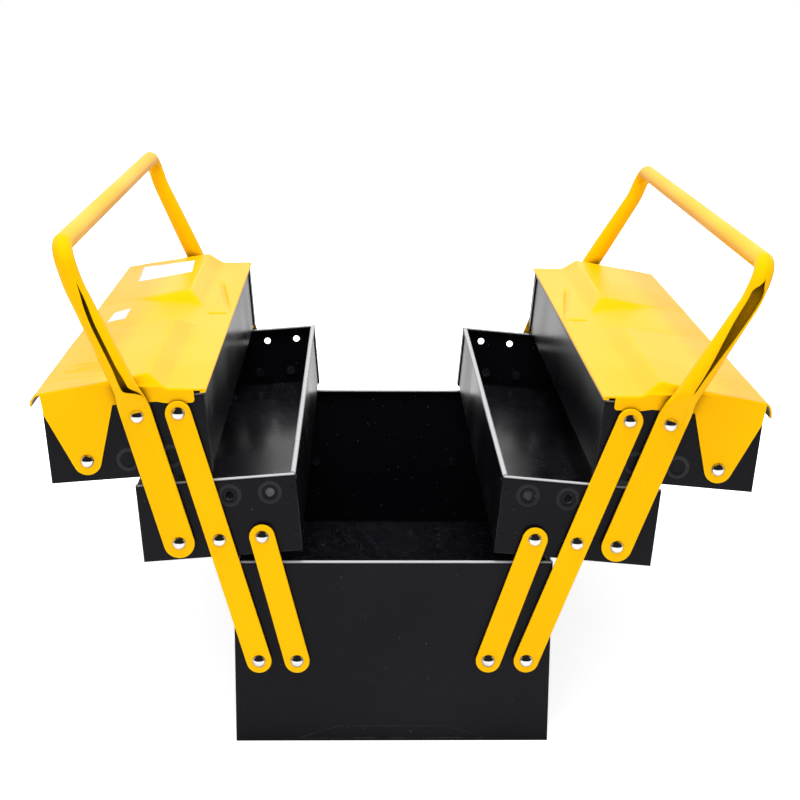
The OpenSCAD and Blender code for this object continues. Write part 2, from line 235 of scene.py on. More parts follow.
def mix_colour(tree: Tree, share: Socket, a: Colour | Socket, b: Colour) -> Socket:
    """Lay a colour over another.

    Args:
        tree: The material's node tree.
        share: Socket that gives the second colour's share.
        a: First colour, or its socket.
        b: Second colour.

    Returns:
        The mixed colour's socket.
    """
    node = add_node(tree, "ShaderNodeMix", data_type="RGBA")
    first, second = (socket for socket in node.inputs if socket.type == "RGBA")
    tree.links.new(share, node.inputs["Factor"])
    feed(tree, a if isinstance(a, Socket) else (*a, 1.0), first)
    feed(tree, (*b, 1.0), second)
    return next(socket for socket in node.outputs if socket.type == "RGBA")


def start_material(name: str) -> tuple[Material, Tree, Node]:
    """Make a material with one Principled shader.

    Args:
        name: The material's name.

    Returns:
        The material, its node tree and the shader.
    """
    made = bpy.data.materials.new(name)
    made.use_nodes = True
    tree = made.node_tree
    return made, tree, tree.nodes["Principled BSDF"]


def use_group(tree: Tree, group: Tree, **values: float) -> Node:
    """Place a shared node group with its own values.

    Args:
        tree: The material's node tree.
        group: The group to place.
        **values: Numbers for its inputs.

    Returns:
        The group node.
    """
    node = add_node(tree, "ShaderNodeGroup", node_tree=group)
    for name, value in values.items():
        node.inputs[name].default_value = value
    return node


def add_gloss(tree: Tree, shader: Node, skin: Node, gloss: float, matt: float) -> None:
    """Let the roughness run from the clean surface's to that of the dull patches.

    Args:
        tree: The material's node tree.
        shader: The Principled shader.
        skin: The placed skin group.
        gloss: The clean surface's roughness.
        matt: The dull patches' roughness.
    """
    rough = add_node(tree, "ShaderNodeMapRange")
    rough.inputs["To Min"].default_value = gloss
    rough.inputs["To Max"].default_value = matt
    tree.links.new(skin.outputs["Patches"], rough.inputs["Value"])
    tree.links.new(rough.outputs["Result"], shader.inputs["Roughness"])


def add_bump(tree: Tree, shader: Node, skin: Node, strength: float) -> None:
    """Bump the shader's normal by the skin's height.

    Args:
        tree: The material's node tree.
        shader: The Principled shader.
        skin: The placed skin group.
        strength: How strongly the height turns the normal.
    """
    bump = add_node(tree, "ShaderNodeBump")
    bump.inputs["Strength"].default_value = strength
    bump.inputs["Distance"].default_value = BUMP
    tree.links.new(skin.outputs["Height"], bump.inputs["Height"])
    tree.links.new(bump.outputs["Normal"], shader.inputs["Normal"])


# ---- shared shader node groups ----

@dataclass(frozen=True)
class PaintSkin:
    """Orange-peel surface of sprayed enamel: a height, and patches of uneven gloss.

    Scales are in waves per metre. The peel's finer waves are fine_times as dense as its coarse ones
    and fine_share as high.
    """

    peel_scale: float = 260.0
    patch_scale: float = 9.0
    fine_times: float = 6.0
    fine_share: float = 0.15
    patches: Span = (0.3, 0.7)

    def build(self) -> Tree:
        """Build the group.

        Returns:
            The group.
        """
        group, start, end = start_group(
            "paint_skin", {"Peel Scale": self.peel_scale, "Patch Scale": self.patch_scale},
            ("Height", "Patches"))
        peel = start.outputs["Peel Scale"]
        coarse = noise_node(group, peel, detail=2.0)
        fine = noise_node(group, math_node(group, "MULTIPLY", peel, self.fine_times), detail=1.0)
        fine = math_node(group, "MULTIPLY", fine, self.fine_share)
        patches = noise_node(group, start.outputs["Patch Scale"], detail=1.0)
        group.links.new(math_node(group, "ADD", coarse, fine), end.inputs["Height"])
        group.links.new(ranged(group, patches, self.patches), end.inputs["Patches"])
        return group


@dataclass(frozen=True)
class EdgeWear:
    """Mask of worn edges, broken up by noise, which also stand as a painted highlight along edges,
    and a painted highlight on top of thick rims.

    An edge is where the surface turns by the span turn within reach, in metres. A rim is where its
    normal rises by the span rise, over metal that fills the span solid when probed to deep metres.
    """

    reach: float = 0.0009
    turn: Span = (0.01, 0.15)
    break_scale: float = 90.0
    breaks: Span = (0.3, 0.7)
    rise: Span = (0.35, 0.8)
    deep: float = 0.0024
    solid: Span = (0.52, 0.6)

    def build(self) -> Tree:
        """Build the group.

        Returns:
            The group.
        """
        group, start, end = start_group(
            "edge_wear", {"Reach": self.reach, "Amount": 0.3, "Rims": 0.0}, ("Mask",))
        bevel = add_node(group, "ShaderNodeBevel", samples=4)
        group.links.new(start.outputs["Reach"], bevel.inputs["Radius"])
        shape = add_node(group, "ShaderNodeNewGeometry")
        match = add_node(group, "ShaderNodeVectorMath", operation="DOT_PRODUCT")
        group.links.new(bevel.outputs["Normal"], match.inputs[0])
        group.links.new(shape.outputs["Normal"], match.inputs[1])
        turned = math_node(group, "SUBTRACT", 1.0, match.outputs["Value"])
        broken = ranged(group, noise_node(group, self.break_scale, detail=5.0), self.breaks)
        # edge mask: wear, and also a painted highlight along the edges
        worn = math_node(group, "MULTIPLY", ranged(group, turned, self.turn), broken)
        parts = add_node(group, "ShaderNodeSeparateXYZ")
        group.links.new(shape.outputs["Normal"], parts.inputs[0])
        under = add_node(group, "ShaderNodeAmbientOcclusion", samples=10, inside=True)
        under.inputs["Distance"].default_value = self.deep
        # painted highlight: thick rims that face up are made lighter, as where light from above
        # falls on them
        rim = math_node(group, "MULTIPLY", ranged(group, parts.outputs["Z"], self.rise),
                        ranged(group, under.outputs["AO"], self.solid))
        worn = math_node(group, "MULTIPLY", worn, start.outputs["Amount"])
        rim = math_node(group, "MULTIPLY", rim, start.outputs["Rims"])
        group.links.new(math_node(group, "MAXIMUM", worn, rim), end.inputs["Mask"])
        return group


@dataclass(frozen=True)
class Dust:
    """Mask of sparse specks of settled dust. The scale is in waves per metre."""

    scale: float = 520.0
    specks: Span = (0.765, 0.8)

    def build(self) -> Tree:
        """Build the group.

        Returns:
            The group.
        """
        group, start, end = start_group("dust", {"Specks": 0.5}, ("Mask",))
        specks = ranged(group, noise_node(group, self.scale, detail=1.0), self.specks)
        mask = math_node(group, "MULTIPLY", specks, start.outputs["Specks"])
        group.links.new(mask, end.inputs["Mask"])
        return group


@dataclass(frozen=True)
class Recess:
    """Mask of painted shade: nooks that little light reaches, such as the inside of a rolled tube,
    are painted darker.

    A nook is where the share of the sky that is hidden, within reach metres, is in the span hidden.
    """

    reach: float = 0.011
    hidden: Span = (0.14, 0.75)

    def build(self) -> Tree:
        """Build the group.

        Returns:
            The group.
        """
        group, start, end = start_group("recess", {"Reach": self.reach, "Amount": 1.0}, ("Mask",))
        # painted shade: the hidden share of the sky picks where the colour is darkened
        sky = add_node(group, "ShaderNodeAmbientOcclusion", samples=6)
        group.links.new(start.outputs["Reach"], sky.inputs["Distance"])
        hidden = ranged(group, math_node(group, "SUBTRACT", 1.0, sky.outputs["AO"]), self.hidden)
        mask = math_node(group, "MULTIPLY", hidden, start.outputs["Amount"])
        group.links.new(mask, end.inputs["Mask"])
        return group


# ---- finishes ----

@dataclass(frozen=True)
class Enamel:
    """Sprayed gloss paint on sheet steel.

    Colours are linear. deep is the paint in its thicker patches; the next colour is laid on worn
    edges, and also as a painted highlight along edges and on top of rims; shade is painted shade,
    the darker colour laid in nooks where little light reaches. gloss is the roughness of the clean
    paint, and matt that of its dull patches. face is the share of the shine that is left where the
    paint is seen square on. The masks' strengths, in the order of the fields after face, are those
    of the painted shade in nooks, of the edge wear with its painted highlight, of the painted
    highlight on rims and of the dust specks, and peel is that of the orange peel.
    """

    name: str
    colour: Colour
    deep: Colour
    worn: Colour
    shade: Colour
    gloss: float
    matt: float
    specular: float
    face: float
    recess: float
    wear: float
    rims: float = 0.0
    specks: float = 0.0
    peel: float = 0.05
    dust: Colour = (0.55, 0.54, 0.52)

    def material(self, groups: dict[str, Tree]) -> Material:
        """Build the paint.

        Args:
            groups: The shared node groups by name.

        Returns:
            The material.
        """
        made, tree, shader = start_material(self.name)
        shader.inputs["Specular IOR Level"].default_value = self.specular
        shader.inputs["Specular Tint"].default_value = (self.face, self.face, self.face, 1.0)
        skin = use_group(tree, groups["paint_skin"])
        wear = use_group(tree, groups["edge_wear"], Amount=self.wear, Rims=self.rims)
        dust = use_group(tree, groups["dust"], Specks=self.specks)
        nook = use_group(tree, groups["recess"], Amount=self.recess)
        # worn edges also carry a painted highlight, rims a painted highlight, and nooks a painted
        # shade
        colour = mix_colour(tree, skin.outputs["Patches"], self.colour, self.deep)
        for mask, over in ((wear, self.worn), (dust, self.dust), (nook, self.shade)):
            colour = mix_colour(tree, mask.outputs["Mask"], colour, over)
        tree.links.new(colour, shader.inputs["Base Color"])
        add_gloss(tree, shader, skin, self.gloss, self.matt)
        add_bump(tree, shader, skin, self.peel)
        return made


@dataclass(frozen=True)
class Plating:
    """Bright or dull metal plating, with a fine grain.

    dull is the share of the colour that is left in the dull patches. Scales are in waves per metre.
    """

    name: str
    colour: Colour
    gloss: float
    matt: float
    grain: float
    dull: float = 0.8
    grain_scale: float = 900.0
    patch_scale: float = 240.0

    def material(self, groups: dict[str, Tree]) -> Material:
        """Build the plating.

        Args:
            groups: The shared node groups by name.

        Returns:
            The material.
        """
        made, tree, shader = start_material(self.name)
        shader.inputs["Metallic"].default_value = 1.0
        skin = use_group(tree, groups["paint_skin"],
                         **{"Peel Scale": self.grain_scale, "Patch Scale": self.patch_scale})
        dull = tuple(self.dull * c for c in self.colour)
        colour = mix_colour(tree, skin.outputs["Patches"], self.colour, dull)
        tree.links.new(colour, shader.inputs["Base Color"])
        add_gloss(tree, shader, skin, self.gloss, self.matt)
        add_bump(tree, shader, skin, self.grain)
        return made


@dataclass(frozen=True)
class Paper:
    """Plain coated label paper with a faint fibre.

    grey is the share of the colour that is left in the grey patches. Scales are in waves per metre.
    """

    name: str
    colour: Colour
    gloss: float = 0.5
    grey: float = 0.93
    fibre: float = 0.02
    fibre_scale: float = 1800.0
    patch_scale: float = 60.0

    def material(self, groups: dict[str, Tree]) -> Material:
        """Build the paper.

        Args:
            groups: The shared node groups by name.

        Returns:
            The material.
        """
        made, tree, shader = start_material(self.name)
        shader.inputs["Roughness"].default_value = self.gloss
        skin = use_group(tree, groups["paint_skin"],
                         **{"Peel Scale": self.fibre_scale, "Patch Scale": self.patch_scale})
        grey = tuple(self.grey * c for c in self.colour)
        colour = mix_colour(tree, skin.outputs["Patches"], self.colour, grey)
        tree.links.new(colour, shader.inputs["Base Color"])
        add_bump(tree, shader, skin, self.fibre)
        return made


# BLACK: shade is painted shade in nooks, and the grey worn colour is wear on edges and a painted
# highlight along edges and on top of rims
BLACK = Enamel(
    "black_enamel", colour=(0.0045, 0.0045, 0.0065), deep=(0.0065, 0.0065, 0.009),
    worn=(0.5, 0.5, 0.52), shade=(0.001, 0.001, 0.001), gloss=0.2, matt=0.3, specular=0.5, face=0.2,
    recess=0.5, wear=0.1, rims=0.95, specks=0.2)
# painted highlight: a lighter black laid on the dished rings for the light they catch
RING_SHEEN = replace(
    BLACK, name="rubbed_enamel", colour=(0.014, 0.014, 0.017), deep=(0.028, 0.028, 0.032), rims=0.0)
# AMBER: shade is painted shade, dark brown in nooks such as inside the rolled handle, and the pale
# yellow worn colour is wear and a painted highlight along edges
AMBER = Enamel(
    "amber_enamel", colour=(0.97, 0.51, 0.0), deep=(0.95, 0.48, 0.0), worn=(0.98, 0.68, 0.01),
    shade=(0.03, 0.012, 0.0), gloss=0.3, matt=0.36, specular=0.12, face=0.35, recess=1.0, wear=0.7)
CHROME = Plating("bright_plate", (0.88, 0.88, 0.9), gloss=0.06, matt=0.12, grain=0.03)
ZINC = Plating("dull_zinc", (0.5, 0.5, 0.5), gloss=0.35, matt=0.5, grain=0.1)
LABEL = Paper("blank_label", (0.92, 0.92, 0.92))


# ---- shapes and curves ----

def smooth_step(value: float, low: float, high: float) -> float:
    """Share of the way from low to high, from 0 to 1, with soft ends."""
    t = min(1.0, max(0.0, (value - low) / (high - low)))
    return t * t * (3 - 2 * t)


def plateau(value: float, rises: Span, falls: Span) -> float:
    """Share from 0 to 1 that rises softly over one span and falls over a later one."""
    return smooth_step(value, *rises) * (1 - smooth_step(value, *falls))


def soft_min(a: float, b: float, blend: float) -> float:
    """Lesser of two numbers, rounded over where they are within blend of each other."""
    share = max(blend - abs(a - b), 0.0) / blend
    return min(a, b) - share * share * blend / 4


def soft_max(a: float, b: float, blend: float) -> float:
    """Greater of two numbers, rounded over where they are within blend of each other."""
    return -soft_min(-a, -b, blend)


def cut_spans(edges: list[float], counts: tuple[int, ...]) -> list[float]:
    """Cut each span between two edges into equal parts.

    Args:
        edges: The spans' edges in order.
        counts: Number of parts of each span.

    Returns:
        Every cut, with both ends.
    """
    cuts = [low + (high - low) * i / count
            for low, high, count in zip(edges, edges[1:], counts) for i in range(count)]
    return cuts + [edges[-1]]


def mirrored(half: list[Point]) -> list[Point]:
    """Whole loop of a half outline that starts and ends on x = 0."""
    return half + [(-x, z) for x, z in reversed(half[1:-1])]


def ring(centre: Point, radius: float, count: int) -> list[Point]:
    """Points round a circle."""
    steps = [math.tau * i / count for i in range(count)]
    return [(centre[0] + radius * math.cos(t), centre[1] + radius * math.sin(t)) for t in steps]


def half_slot(low: float, high: float, width: float, count: int = 12) -> list[Point]:
    """Right half of the outline of a flat bar with round ends, standing up.

    Args:
        low: Height of the lower end's centre.
        high: Height of the upper end's centre, the same as low for a circle.
        width: The bar's width.
        count: Segments of each quarter circle.

    Returns:
        The half outline's points, from the lowest to the highest.
    """
    r, steps = width / 2, [math.pi / 2 * i / count for i in range(count + 1)]
    lower = [(r * math.sin(t), low - r * math.cos(t)) for t in steps]
    upper = [(x, high + low - z) for x, z in reversed(lower)]
    return lower + (upper if high > low else upper[1:])


# ---- mesh helpers ----

def add_row(target: Built, points: Iterable[Vector]) -> list[Vert]:
    """Add a row of vertices."""
    return [target.verts.new(p) for p in points]


def loft(target: Built, rows: list[list[Vert]], closed: bool = True) -> None:
    """Join each row of vertices to the next with quads.

    Args:
        target: The bmesh that gets the faces.
        rows: Rows of as many vertices.
        closed: Whether each row closes on itself.
    """
    for first, second in zip(rows, rows[1:]):
        for i in range(len(first) if closed else len(first) - 1):
            j = (i + 1) % len(first)
            target.faces.new((first[i], first[j], second[j], second[i]))


def split_face(target: Built, edge: list[Point], cuts: list[list[Point]],
               place: Callable[[float, float], Vector]) -> None:
    """Fill a flat outline that mirrors about x = 0 with two faces that meet on that line.

    Args:
        target: The bmesh that gets the faces.
        edge: Half of the outline, x at or above 0, from its lowest point to its highest.
        cuts: The same half of each opening on the line, from the lowest opening to the highest.
        place: Gives the point in space of a flat point.
    """
    path = list(edge) + [point for cut in reversed(cuts) for point in reversed(cut)]
    for sign in (1, -1):
        target.faces.new(add_row(target, (place(sign * x, z) for x, z in path)))


def pierced_face(target: Built, outline: list[Point], hole: Vector, radius: float,
                 place: Callable[[float, float], Vector]) -> None:
    """Fill a flat outline round one hole with two faces, split above and below the hole.

    Args:
        target: The bmesh that gets the faces.
        outline: The outline's points.
        hole: The hole's centre.
        radius: The hole's radius.
        place: Gives the point in space of a flat point.
    """
    def pick(sign: int) -> int:
        """Number of the outline's point that is nearest above or below the hole."""
        picks = [i for i, (x, z) in enumerate(outline) if (z - hole.y) * sign > radius]
        return min(picks, key=lambda i: abs(outline[i][0] - hole.x))

    top, bottom, steps = pick(1), pick(-1), 20
    for first, last in ((top, bottom), (bottom, top)):
        gone = (last - first) % len(outline)
        path = [outline[(first + i) % len(outline)] for i in range(gone + 1)]
        down = -1 if last == bottom else 1
        away = 1 if sum(x for x, _ in path) / len(path) > hole.x else -1
        turns = [down * math.pi / 2 - down * away * math.pi * i / steps for i in range(steps + 1)]
        path += [(hole.x + radius * math.cos(t), hole.y + radius * math.sin(t)) for t in turns]
        target.faces.new(add_row(target, (place(x, z) for x, z in path)))


def seal(built: Built) -> None:
    """Merge the vertices that lie together, and turn every face outward."""
    bmesh.ops.remove_doubles(built, verts=built.verts, dist=MERGE)
    bmesh.ops.recalc_face_normals(built, faces=built.faces)


def face_up(built: Built) -> None:
    """Turn an open sheet over if its highest face looks down.

    Args:
        built: The bmesh that holds the sheet.
    """
    highest = max(built.faces, key=lambda f: f.calc_center_median().z)
    if highest.normal.z < 0:
        bmesh.ops.reverse_faces(built, faces=built.faces)


def make_piece(name: str, built: Built) -> Piece:
    """Turn a bmesh into a smooth-shaded object.

    Args:
        name: The piece's name.
        built: The bmesh, which is freed.

    Returns:
        The new object.
    """
    mesh = bpy.data.meshes.new(name)
    built.to_mesh(mesh)
    built.free()
    mesh.shade_smooth()
    piece = bpy.data.objects.new(name, mesh)
    bpy.context.scene.collection.objects.link(piece)
    return piece


def even_shading(piece: Piece) -> None:
    """Shade a piece by its larger faces, and keep its sharp edges."""
    even = piece.modifiers.new("shading", "WEIGHTED_NORMAL")
    even.keep_sharp = True


def soften(piece: Piece, width: float, segments: int, angle: float) -> None:
    """Round a piece's edges and even its shading.

    Args:
        piece: The piece.
        width: The rounding's width in mm.
        segments: Faces across the rounding.
        angle: Least turn of an edge that is rounded, in radians.
    """
    bevel = piece.modifiers.new("edges", "BEVEL")
    bevel.width = width * MM
    bevel.segments = segments
    bevel.limit_method = "ANGLE"
    bevel.angle_limit = angle
    bevel.harden_normals = True
    even_shading(piece)


def thicken(piece: Piece, name: str, thickness: float) -> bpy.types.Modifier:
    """Give an open sheet its thickness.

    Args:
        piece: The sheet.
        name: The modifier's name.
        thickness: The thickness in mm.

    Returns:
        The modifier.
    """
    thick = piece.modifiers.new(name, "SOLIDIFY")
    thick.thickness = thickness * MM
    return thick


# ---- places ----

@dataclass(frozen=True)
class Place:
    """A frame across the box, in mm: outward x and upward z, turned outward by an angle."""

    side: Side
    x: float
    z: float
    lean: float

    def world(self, x: float, y: float, z: float) -> Vector:
        """Point of the row frame, in metres, of a point in this frame.

        Args:
            x: Outward distance.
            y: Distance along the box.
            z: Upward distance.

        Returns:
            The point.
        """
        c, s = math.cos(self.lean), math.sin(self.lean)
        return Vector((self.side.value * (self.x + x * c + z * s), y, self.z + z * c - x * s)) * MM

    def at(self, y: float) -> Callable[[float, float], Vector]:
        """Function that gives the point in space of a flat point at a distance along the box."""
        return lambda x, z: self.world(x, y, z)

    def outline(self, points: Iterable[Point], y: float) -> list[Vector]:
        """Points in space of flat points at a distance along the box."""
        return [self.world(x, y, z) for x, z in points]

    def local(self, point: Vector) -> Point:
        """Find a point across the box in this frame.

        Args:
            point: The point, outward and up, in mm.

        Returns:
            Its distances outward and up in this frame.
        """
        c, s = math.cos(self.lean), math.sin(self.lean)
        x, z = point.x - self.x, point.y - self.z
        return x * c - z * s, x * s + z * c


def turn_profile(target: Built, place: Place, centre: Point, profile: list[Point],
                 count: int) -> list[list[Vert]]:
    """Turn a profile about an axis along the box.

    Args:
        target: The bmesh that gets the faces.
        place: The frame that the axis stands in.
        centre: Where the axis meets that frame.
        profile: Radius, and distance along the box, of each point of the profile.
        count: Segments round the axis.

    Returns:
        The row of vertices of each point of the profile.
    """
    rows = [add_row(target, place.outline(ring(centre, r, count), y)) for r, y in profile]
    loft(target, rows)
    return rows


@dataclass(frozen=True)
class Linkage:
    """Pivots of one side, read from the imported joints. Points are (outward, up) in mm."""

    side: Side
    end_y: float
    tray_pitch: float = 27.5

    def pivot(self, joint: str) -> Vector:
        """Place of one of the side's joints."""
        pos = next(j["pos_m"] for j in frame["joints"] if j["name"] == f"{self.side.label}_{joint}")
        return Vector((abs(pos[0]), pos[2])) / MM

    @property
    def lean(self) -> float:
        """Outward lean of the long arms, in radians."""
        d = self.pivot("top_tray_turn") - self.pivot("fold")
        return math.atan2(d.x, d.y)

    @property
    def tray_step(self) -> Vector:
        """Step outward from the long arm's pivot on a tray to the handle's."""
        return self.pivot("handle_turn") - self.pivot("top_tray_turn")

    @property
    def tilt(self) -> float:
        """Outward tilt of the trays, in radians."""
        return math.atan2(-self.tray_step.y, self.tray_step.x)

    @property
    def short_top(self) -> Vector:
        """Upper pivot of the short arms."""
        across = Vector((math.cos(self.tilt), -math.sin(self.tilt)))
        return self.pivot("middle_tray_turn") - self.tray_pitch * across

    @property
    def strap_low(self) -> Vector:
        """Lower pivot of the handle's straps."""
        return self.pivot("middle_tray_turn") + self.tray_step

    def tray(self, row: Row) -> tuple[Place, float, float]:
        """Frame in the middle of a tray's underside, and the tray's size.

        Args:
            row: Which tray.

        Returns:
            The frame, the tray's width and its height.
        """
        shell = frame["nodes"][f"{row.node(self.side)}_shell"]
        c, s = math.cos(self.tilt), math.sin(self.tilt)
        points = [(self.side.value * v.co.x / MM, v.co.z / MM) for v in shell.data.vertices]
        xs = [x * c - z * s for x, z in points]
        zs = [x * s + z * c for x, z in points]
        mid, low = (min(xs) + max(xs)) / 2, min(zs)
        place = Place(self.side, mid * c + low * s, low * c - mid * s, self.tilt)
        return place, max(xs) - min(xs), max(zs) - low


# ---- pieces ----

@dataclass
class Workshop:
    """Holds the finishes, and gives each new piece its finish, slot and body."""

    materials: dict[Slot, Material]
    label: Material
    # lighter black of the dished rings, a painted highlight
    rubbed: Material
    count: int = 0

    def settle(self, piece: Piece, slot: Slot, body: str, *nodes: str,
               finish: Material | None = None) -> None:
        """Dress a piece, let it ride and report it.

        Args:
            piece: The new piece.
            slot: Its material slot.
            body: The body it rides on.
            *nodes: CAD nodes that it stands for.
            finish: Its finish, where that isn't the slot's own.
        """
        piece.data.materials.append(finish or self.materials[slot])
        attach(piece, body)
        if nodes:
            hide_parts(*nodes)
        self.count += 1
        LOG.info("%s rides on %s", piece.name, body)


@dataclass
class PressedBoxes:
    """Shells and end plates of the five boxes, which keep their CAD shapes, and the marks on them.

    Profiles are (radius, height above the end plate). weld_rows are shares of the tray's height.
    """

    weld_profile: tuple[Point, ...] = ((1.3, -0.05), (1.04, 0.2), (0.52, 0.28))
    weld_h: float = 0.3
    weld_in: float = 3.2
    weld_rows: tuple[float, float] = (0.24, 0.82)
    weld_segments: int = 16
    dish_profile: tuple[Point, ...] = ((7.9, -0.1), (7.6, 0.07), (5.4, 0.07), (5.1, -0.1))
    dish_r: float = 8.0
    dish_slope: float = 0.125
    dish_segments: int = 40

    def dress(self, shop: Workshop) -> None:
        """Paint every shell, end plate and washer.

        Args:
            shop: The finishes.
        """
        for name, node in frame["nodes"].items():
            sheet = "_shell" in name or "_end_" in name
            if not sheet and "washers" not in name:
                continue
            slot = Slot.BLACK if sheet else Slot.WASHER
            node.data.materials.clear()
            node.data.materials.append(shop.materials[slot])
            LOG.info("%s keeps its shape", name)

    def build(self, link: Linkage, shop: Workshop) -> None:
        """Add the marks on a side's two trays.

        Args:
            link: The side's linkage.
            shop: The finishes.
        """
        top_pivots = [link.pivot("top_tray_turn"), link.pivot("handle_turn")]
        middle_pivots = [link.short_top, link.pivot("middle_tray_turn")]
        self.welds(link, shop)
        self.dishes(link, Row.MIDDLE, Row.TOP, top_pivots, shop)
        self.dishes(link, Row.TOP, Row.MIDDLE, middle_pivots, shop)

    def dishes(self, link: Linkage, row: Row, other: Row, pivots: list[Vector],
               shop: Workshop) -> None:
        """Lay the dished rings that are pressed where a tray could take the other tray's pivots, in
        a lighter black that is a painted highlight.

        Args:
            link: The side's linkage.
            row: The tray that has the rings.
            other: The tray that the pivots are on.
            pivots: Those pivots.
            shop: The finishes.
        """
        place, source = link.tray(row)[0], link.tray(other)[0]
        heights = [(r, link.end_y + lift - self.dish_slope * (self.dish_r - r))
                   for r, lift in self.dish_profile]
        built = bmesh.new()
        for end in End:
            profile = [(r, end.value * height) for r, height in heights]
            for pivot in pivots:
                turn_profile(built, place, source.local(pivot), profile, self.dish_segments)
        seal(built)
        piece = make_piece(f"{row.node(link.side)}_dishes", built)
        shop.settle(piece, Slot.BLACK, row.body(link.side), finish=shop.rubbed)

    def welds(self, link: Linkage, shop: Workshop) -> None:
        """Add the small weld marks by the inner corners of the middle tray's end plates.

        Args:
            link: The side's linkage.
            shop: The finishes.
        """
        place, width, height = link.tray(Row.MIDDLE)
        built = bmesh.new()
        for end in End:
            profile = [(r, end.value * (link.end_y + h)) for r, h in self.weld_profile]
            for share in self.weld_rows:
                centre = (-width / 2 + self.weld_in, height * share)
                last = turn_profile(built, place, centre, profile, self.weld_segments)[-1]
                tip = built.verts.new(
                    place.world(centre[0], end.value * (link.end_y + self.weld_h), centre[1]))
                for a, b in zip(last, last[1:] + last[:1]):
                    built.faces.new((a, b, tip))
        seal(built)
        piece = make_piece(f"{Row.MIDDLE.node(link.side)}_weld_marks", built)
        shop.settle(piece, Slot.BLACK, Row.MIDDLE.body(link.side))


@dataclass
class Arms:
    """Flat riveted arms, punched from strip and softly rounded by their paint."""

    width: float = 16.5
    thick: float = 2.2
    stand: float = 2.1
    hole_r: float = 2.56
    slack_r: float = 3.15
    edge: float = 0.7
    edge_angle: float = math.radians(35)

    def bar(self, name: str, link: Linkage, end: End, low: Vector, high: Vector,
            holes: list[tuple[float, float]]) -> Piece:
        """Build one arm between two pivots.

        Args:
            name: The piece's name.
            link: The side's linkage.
            end: The end of the box it is on.
            low: Lower pivot.
            high: Upper pivot.
            holes: Distance along the arm and radius of each hole.

        Returns:
            The arm.
        """
        d = high - low
        place = Place(link.side, low.x, low.y, math.atan2(d.x, d.y))
        edge = half_slot(0.0, d.length, self.width)
        cuts = [half_slot(at, at, 2 * r) for at, r in holes]
        faces = [end.value * (link.end_y + self.stand + t) for t in (0.0, self.thick)]
        built = bmesh.new()
        for y in faces:
            split_face(built, edge, cuts, place.at(y))
        for half in (edge, *cuts):
            loft(built, [add_row(built, place.outline(mirrored(half), y)) for y in faces])
        seal(built)
        piece = make_piece(name, built)
        soften(piece, self.edge, segments=3, angle=self.edge_angle)
        return piece

    def build(self, link: Linkage, shop: Workshop) -> None:
        """Build a side's four arms.

        Args:
            link: The side's linkage.
            shop: The finishes.
        """
        base, middle, top = (link.pivot(j) for j in ("fold", "middle_tray_turn", "top_tray_turn"))
        inner = link.pivot("short_arm_turn")
        long_holes = [((p - base).length, self.hole_r) for p in (base, middle, top)]
        short_holes = [(0.0, self.hole_r), ((link.short_top - inner).length, self.slack_r)]
        for end in End:
            for kind, low, high, holes in (("long", base, top, long_holes),
                                           ("short", inner, link.short_top, short_holes)):
                name = f"{link.side.label}_{kind}_arm_{end.label}"
                arm = self.bar(f"{name}_plate", link, end, low, high, holes)
                shop.settle(arm, Slot.YELLOW, f"{link.side.label}_{kind}_arms", name)


@dataclass
class Rivets:
    """Domed rivets with flat tails, turned as one profile.

    A seat is the height of a head's underside above the end plate.
    """

    shank_r: float = 2.5
    head_r: float = 4.4
    head_h: float = 2.8
    tail_r: float = 4.2
    tail_h: float = 1.4
    sheet: float = 1.2
    arm_seat: float = 4.4
    lid_seat: float = 1.7
    rim: float = 0.35
    segments: int = 40
    dome_steps: int = 12

    def profile(self, seat: float) -> list[Point]:
        """Radius and height of the rivet's outline, from its tail to the crown of its head.

        Args:
            seat: The rivet's seat.

        Returns:
            The outline's points.
        """
        ball = (self.head_h ** 2 + self.head_r ** 2) / (2 * self.head_h)
        sweep = math.asin(self.head_r / ball)
        turns = [sweep * (1 - i / self.dome_steps) for i in range(1, self.dome_steps)]
        dome = [(ball * math.sin(t), seat + self.head_h - ball + ball * math.cos(t)) for t in turns]
        back = -self.sheet - self.tail_h
        return [
            (self.tail_r - self.rim, back), (self.tail_r, back + self.rim),
            (self.tail_r, -self.sheet), (self.shank_r, -self.sheet), (self.shank_r, seat),
            (self.head_r - self.rim / 2, seat), (self.head_r, seat + self.rim / 2), *dome]

    def build(self, group: str, points: list[tuple[Side, Vector, float]], end_y: float, body: str,
              shop: Workshop) -> None:
        """Build one group of rivets.

        Args:
            group: Start of the names of the piece and of the CAD node that it stands for.
            points: Side, pivot and seat of each rivet.
            end_y: Distance of the end plates from the middle.
            body: The body they ride on.
            shop: The finishes.
        """
        built = bmesh.new()
        for side, pivot, seat in points:
            upright = Place(side, 0.0, 0.0, 0.0)
            for end in End:
                profile = [(r, end.value * (end_y + h)) for r, h in self.profile(seat)]
                rows = turn_profile(built, upright, tuple(pivot), profile, self.segments)
                for cap in (rows[0], rows[-1]):
                    built.faces.new(cap)
        seal(built)
        piece = make_piece(f"{group}_rivet_set", built)
        piece.data.set_sharp_from_angle(angle=SHARP)
        even_shading(piece)
        shop.settle(piece, Slot.RIVET, body, f"{group}_rivets")

    def build_all(self, links: dict[Side, Linkage], shop: Workshop) -> None:
        """Build every rivet of the box.

        Args:
            links: Each side's linkage.
            shop: The finishes.
        """
        end_y = links[Side.LEFT].end_y
        base = [(side, link.pivot(j), self.arm_seat) for side, link in links.items()
                for j in ("fold", "short_arm_turn")]
        self.build("base", base, end_y, "base", shop)
        for side, link in links.items():
            middle = [(side, p, self.arm_seat)
                      for p in (link.short_top, link.pivot("middle_tray_turn"), link.strap_low)]
            top = [(side, link.pivot("top_tray_turn"), self.arm_seat),
                   (side, link.pivot("handle_turn"), self.arm_seat),
                   (side, link.pivot("lid_turn"), self.lid_seat)]
            for row, points in ((Row.MIDDLE, middle), (Row.TOP, top)):
                self.build(row.node(side), points, end_y, row.body(side), shop)


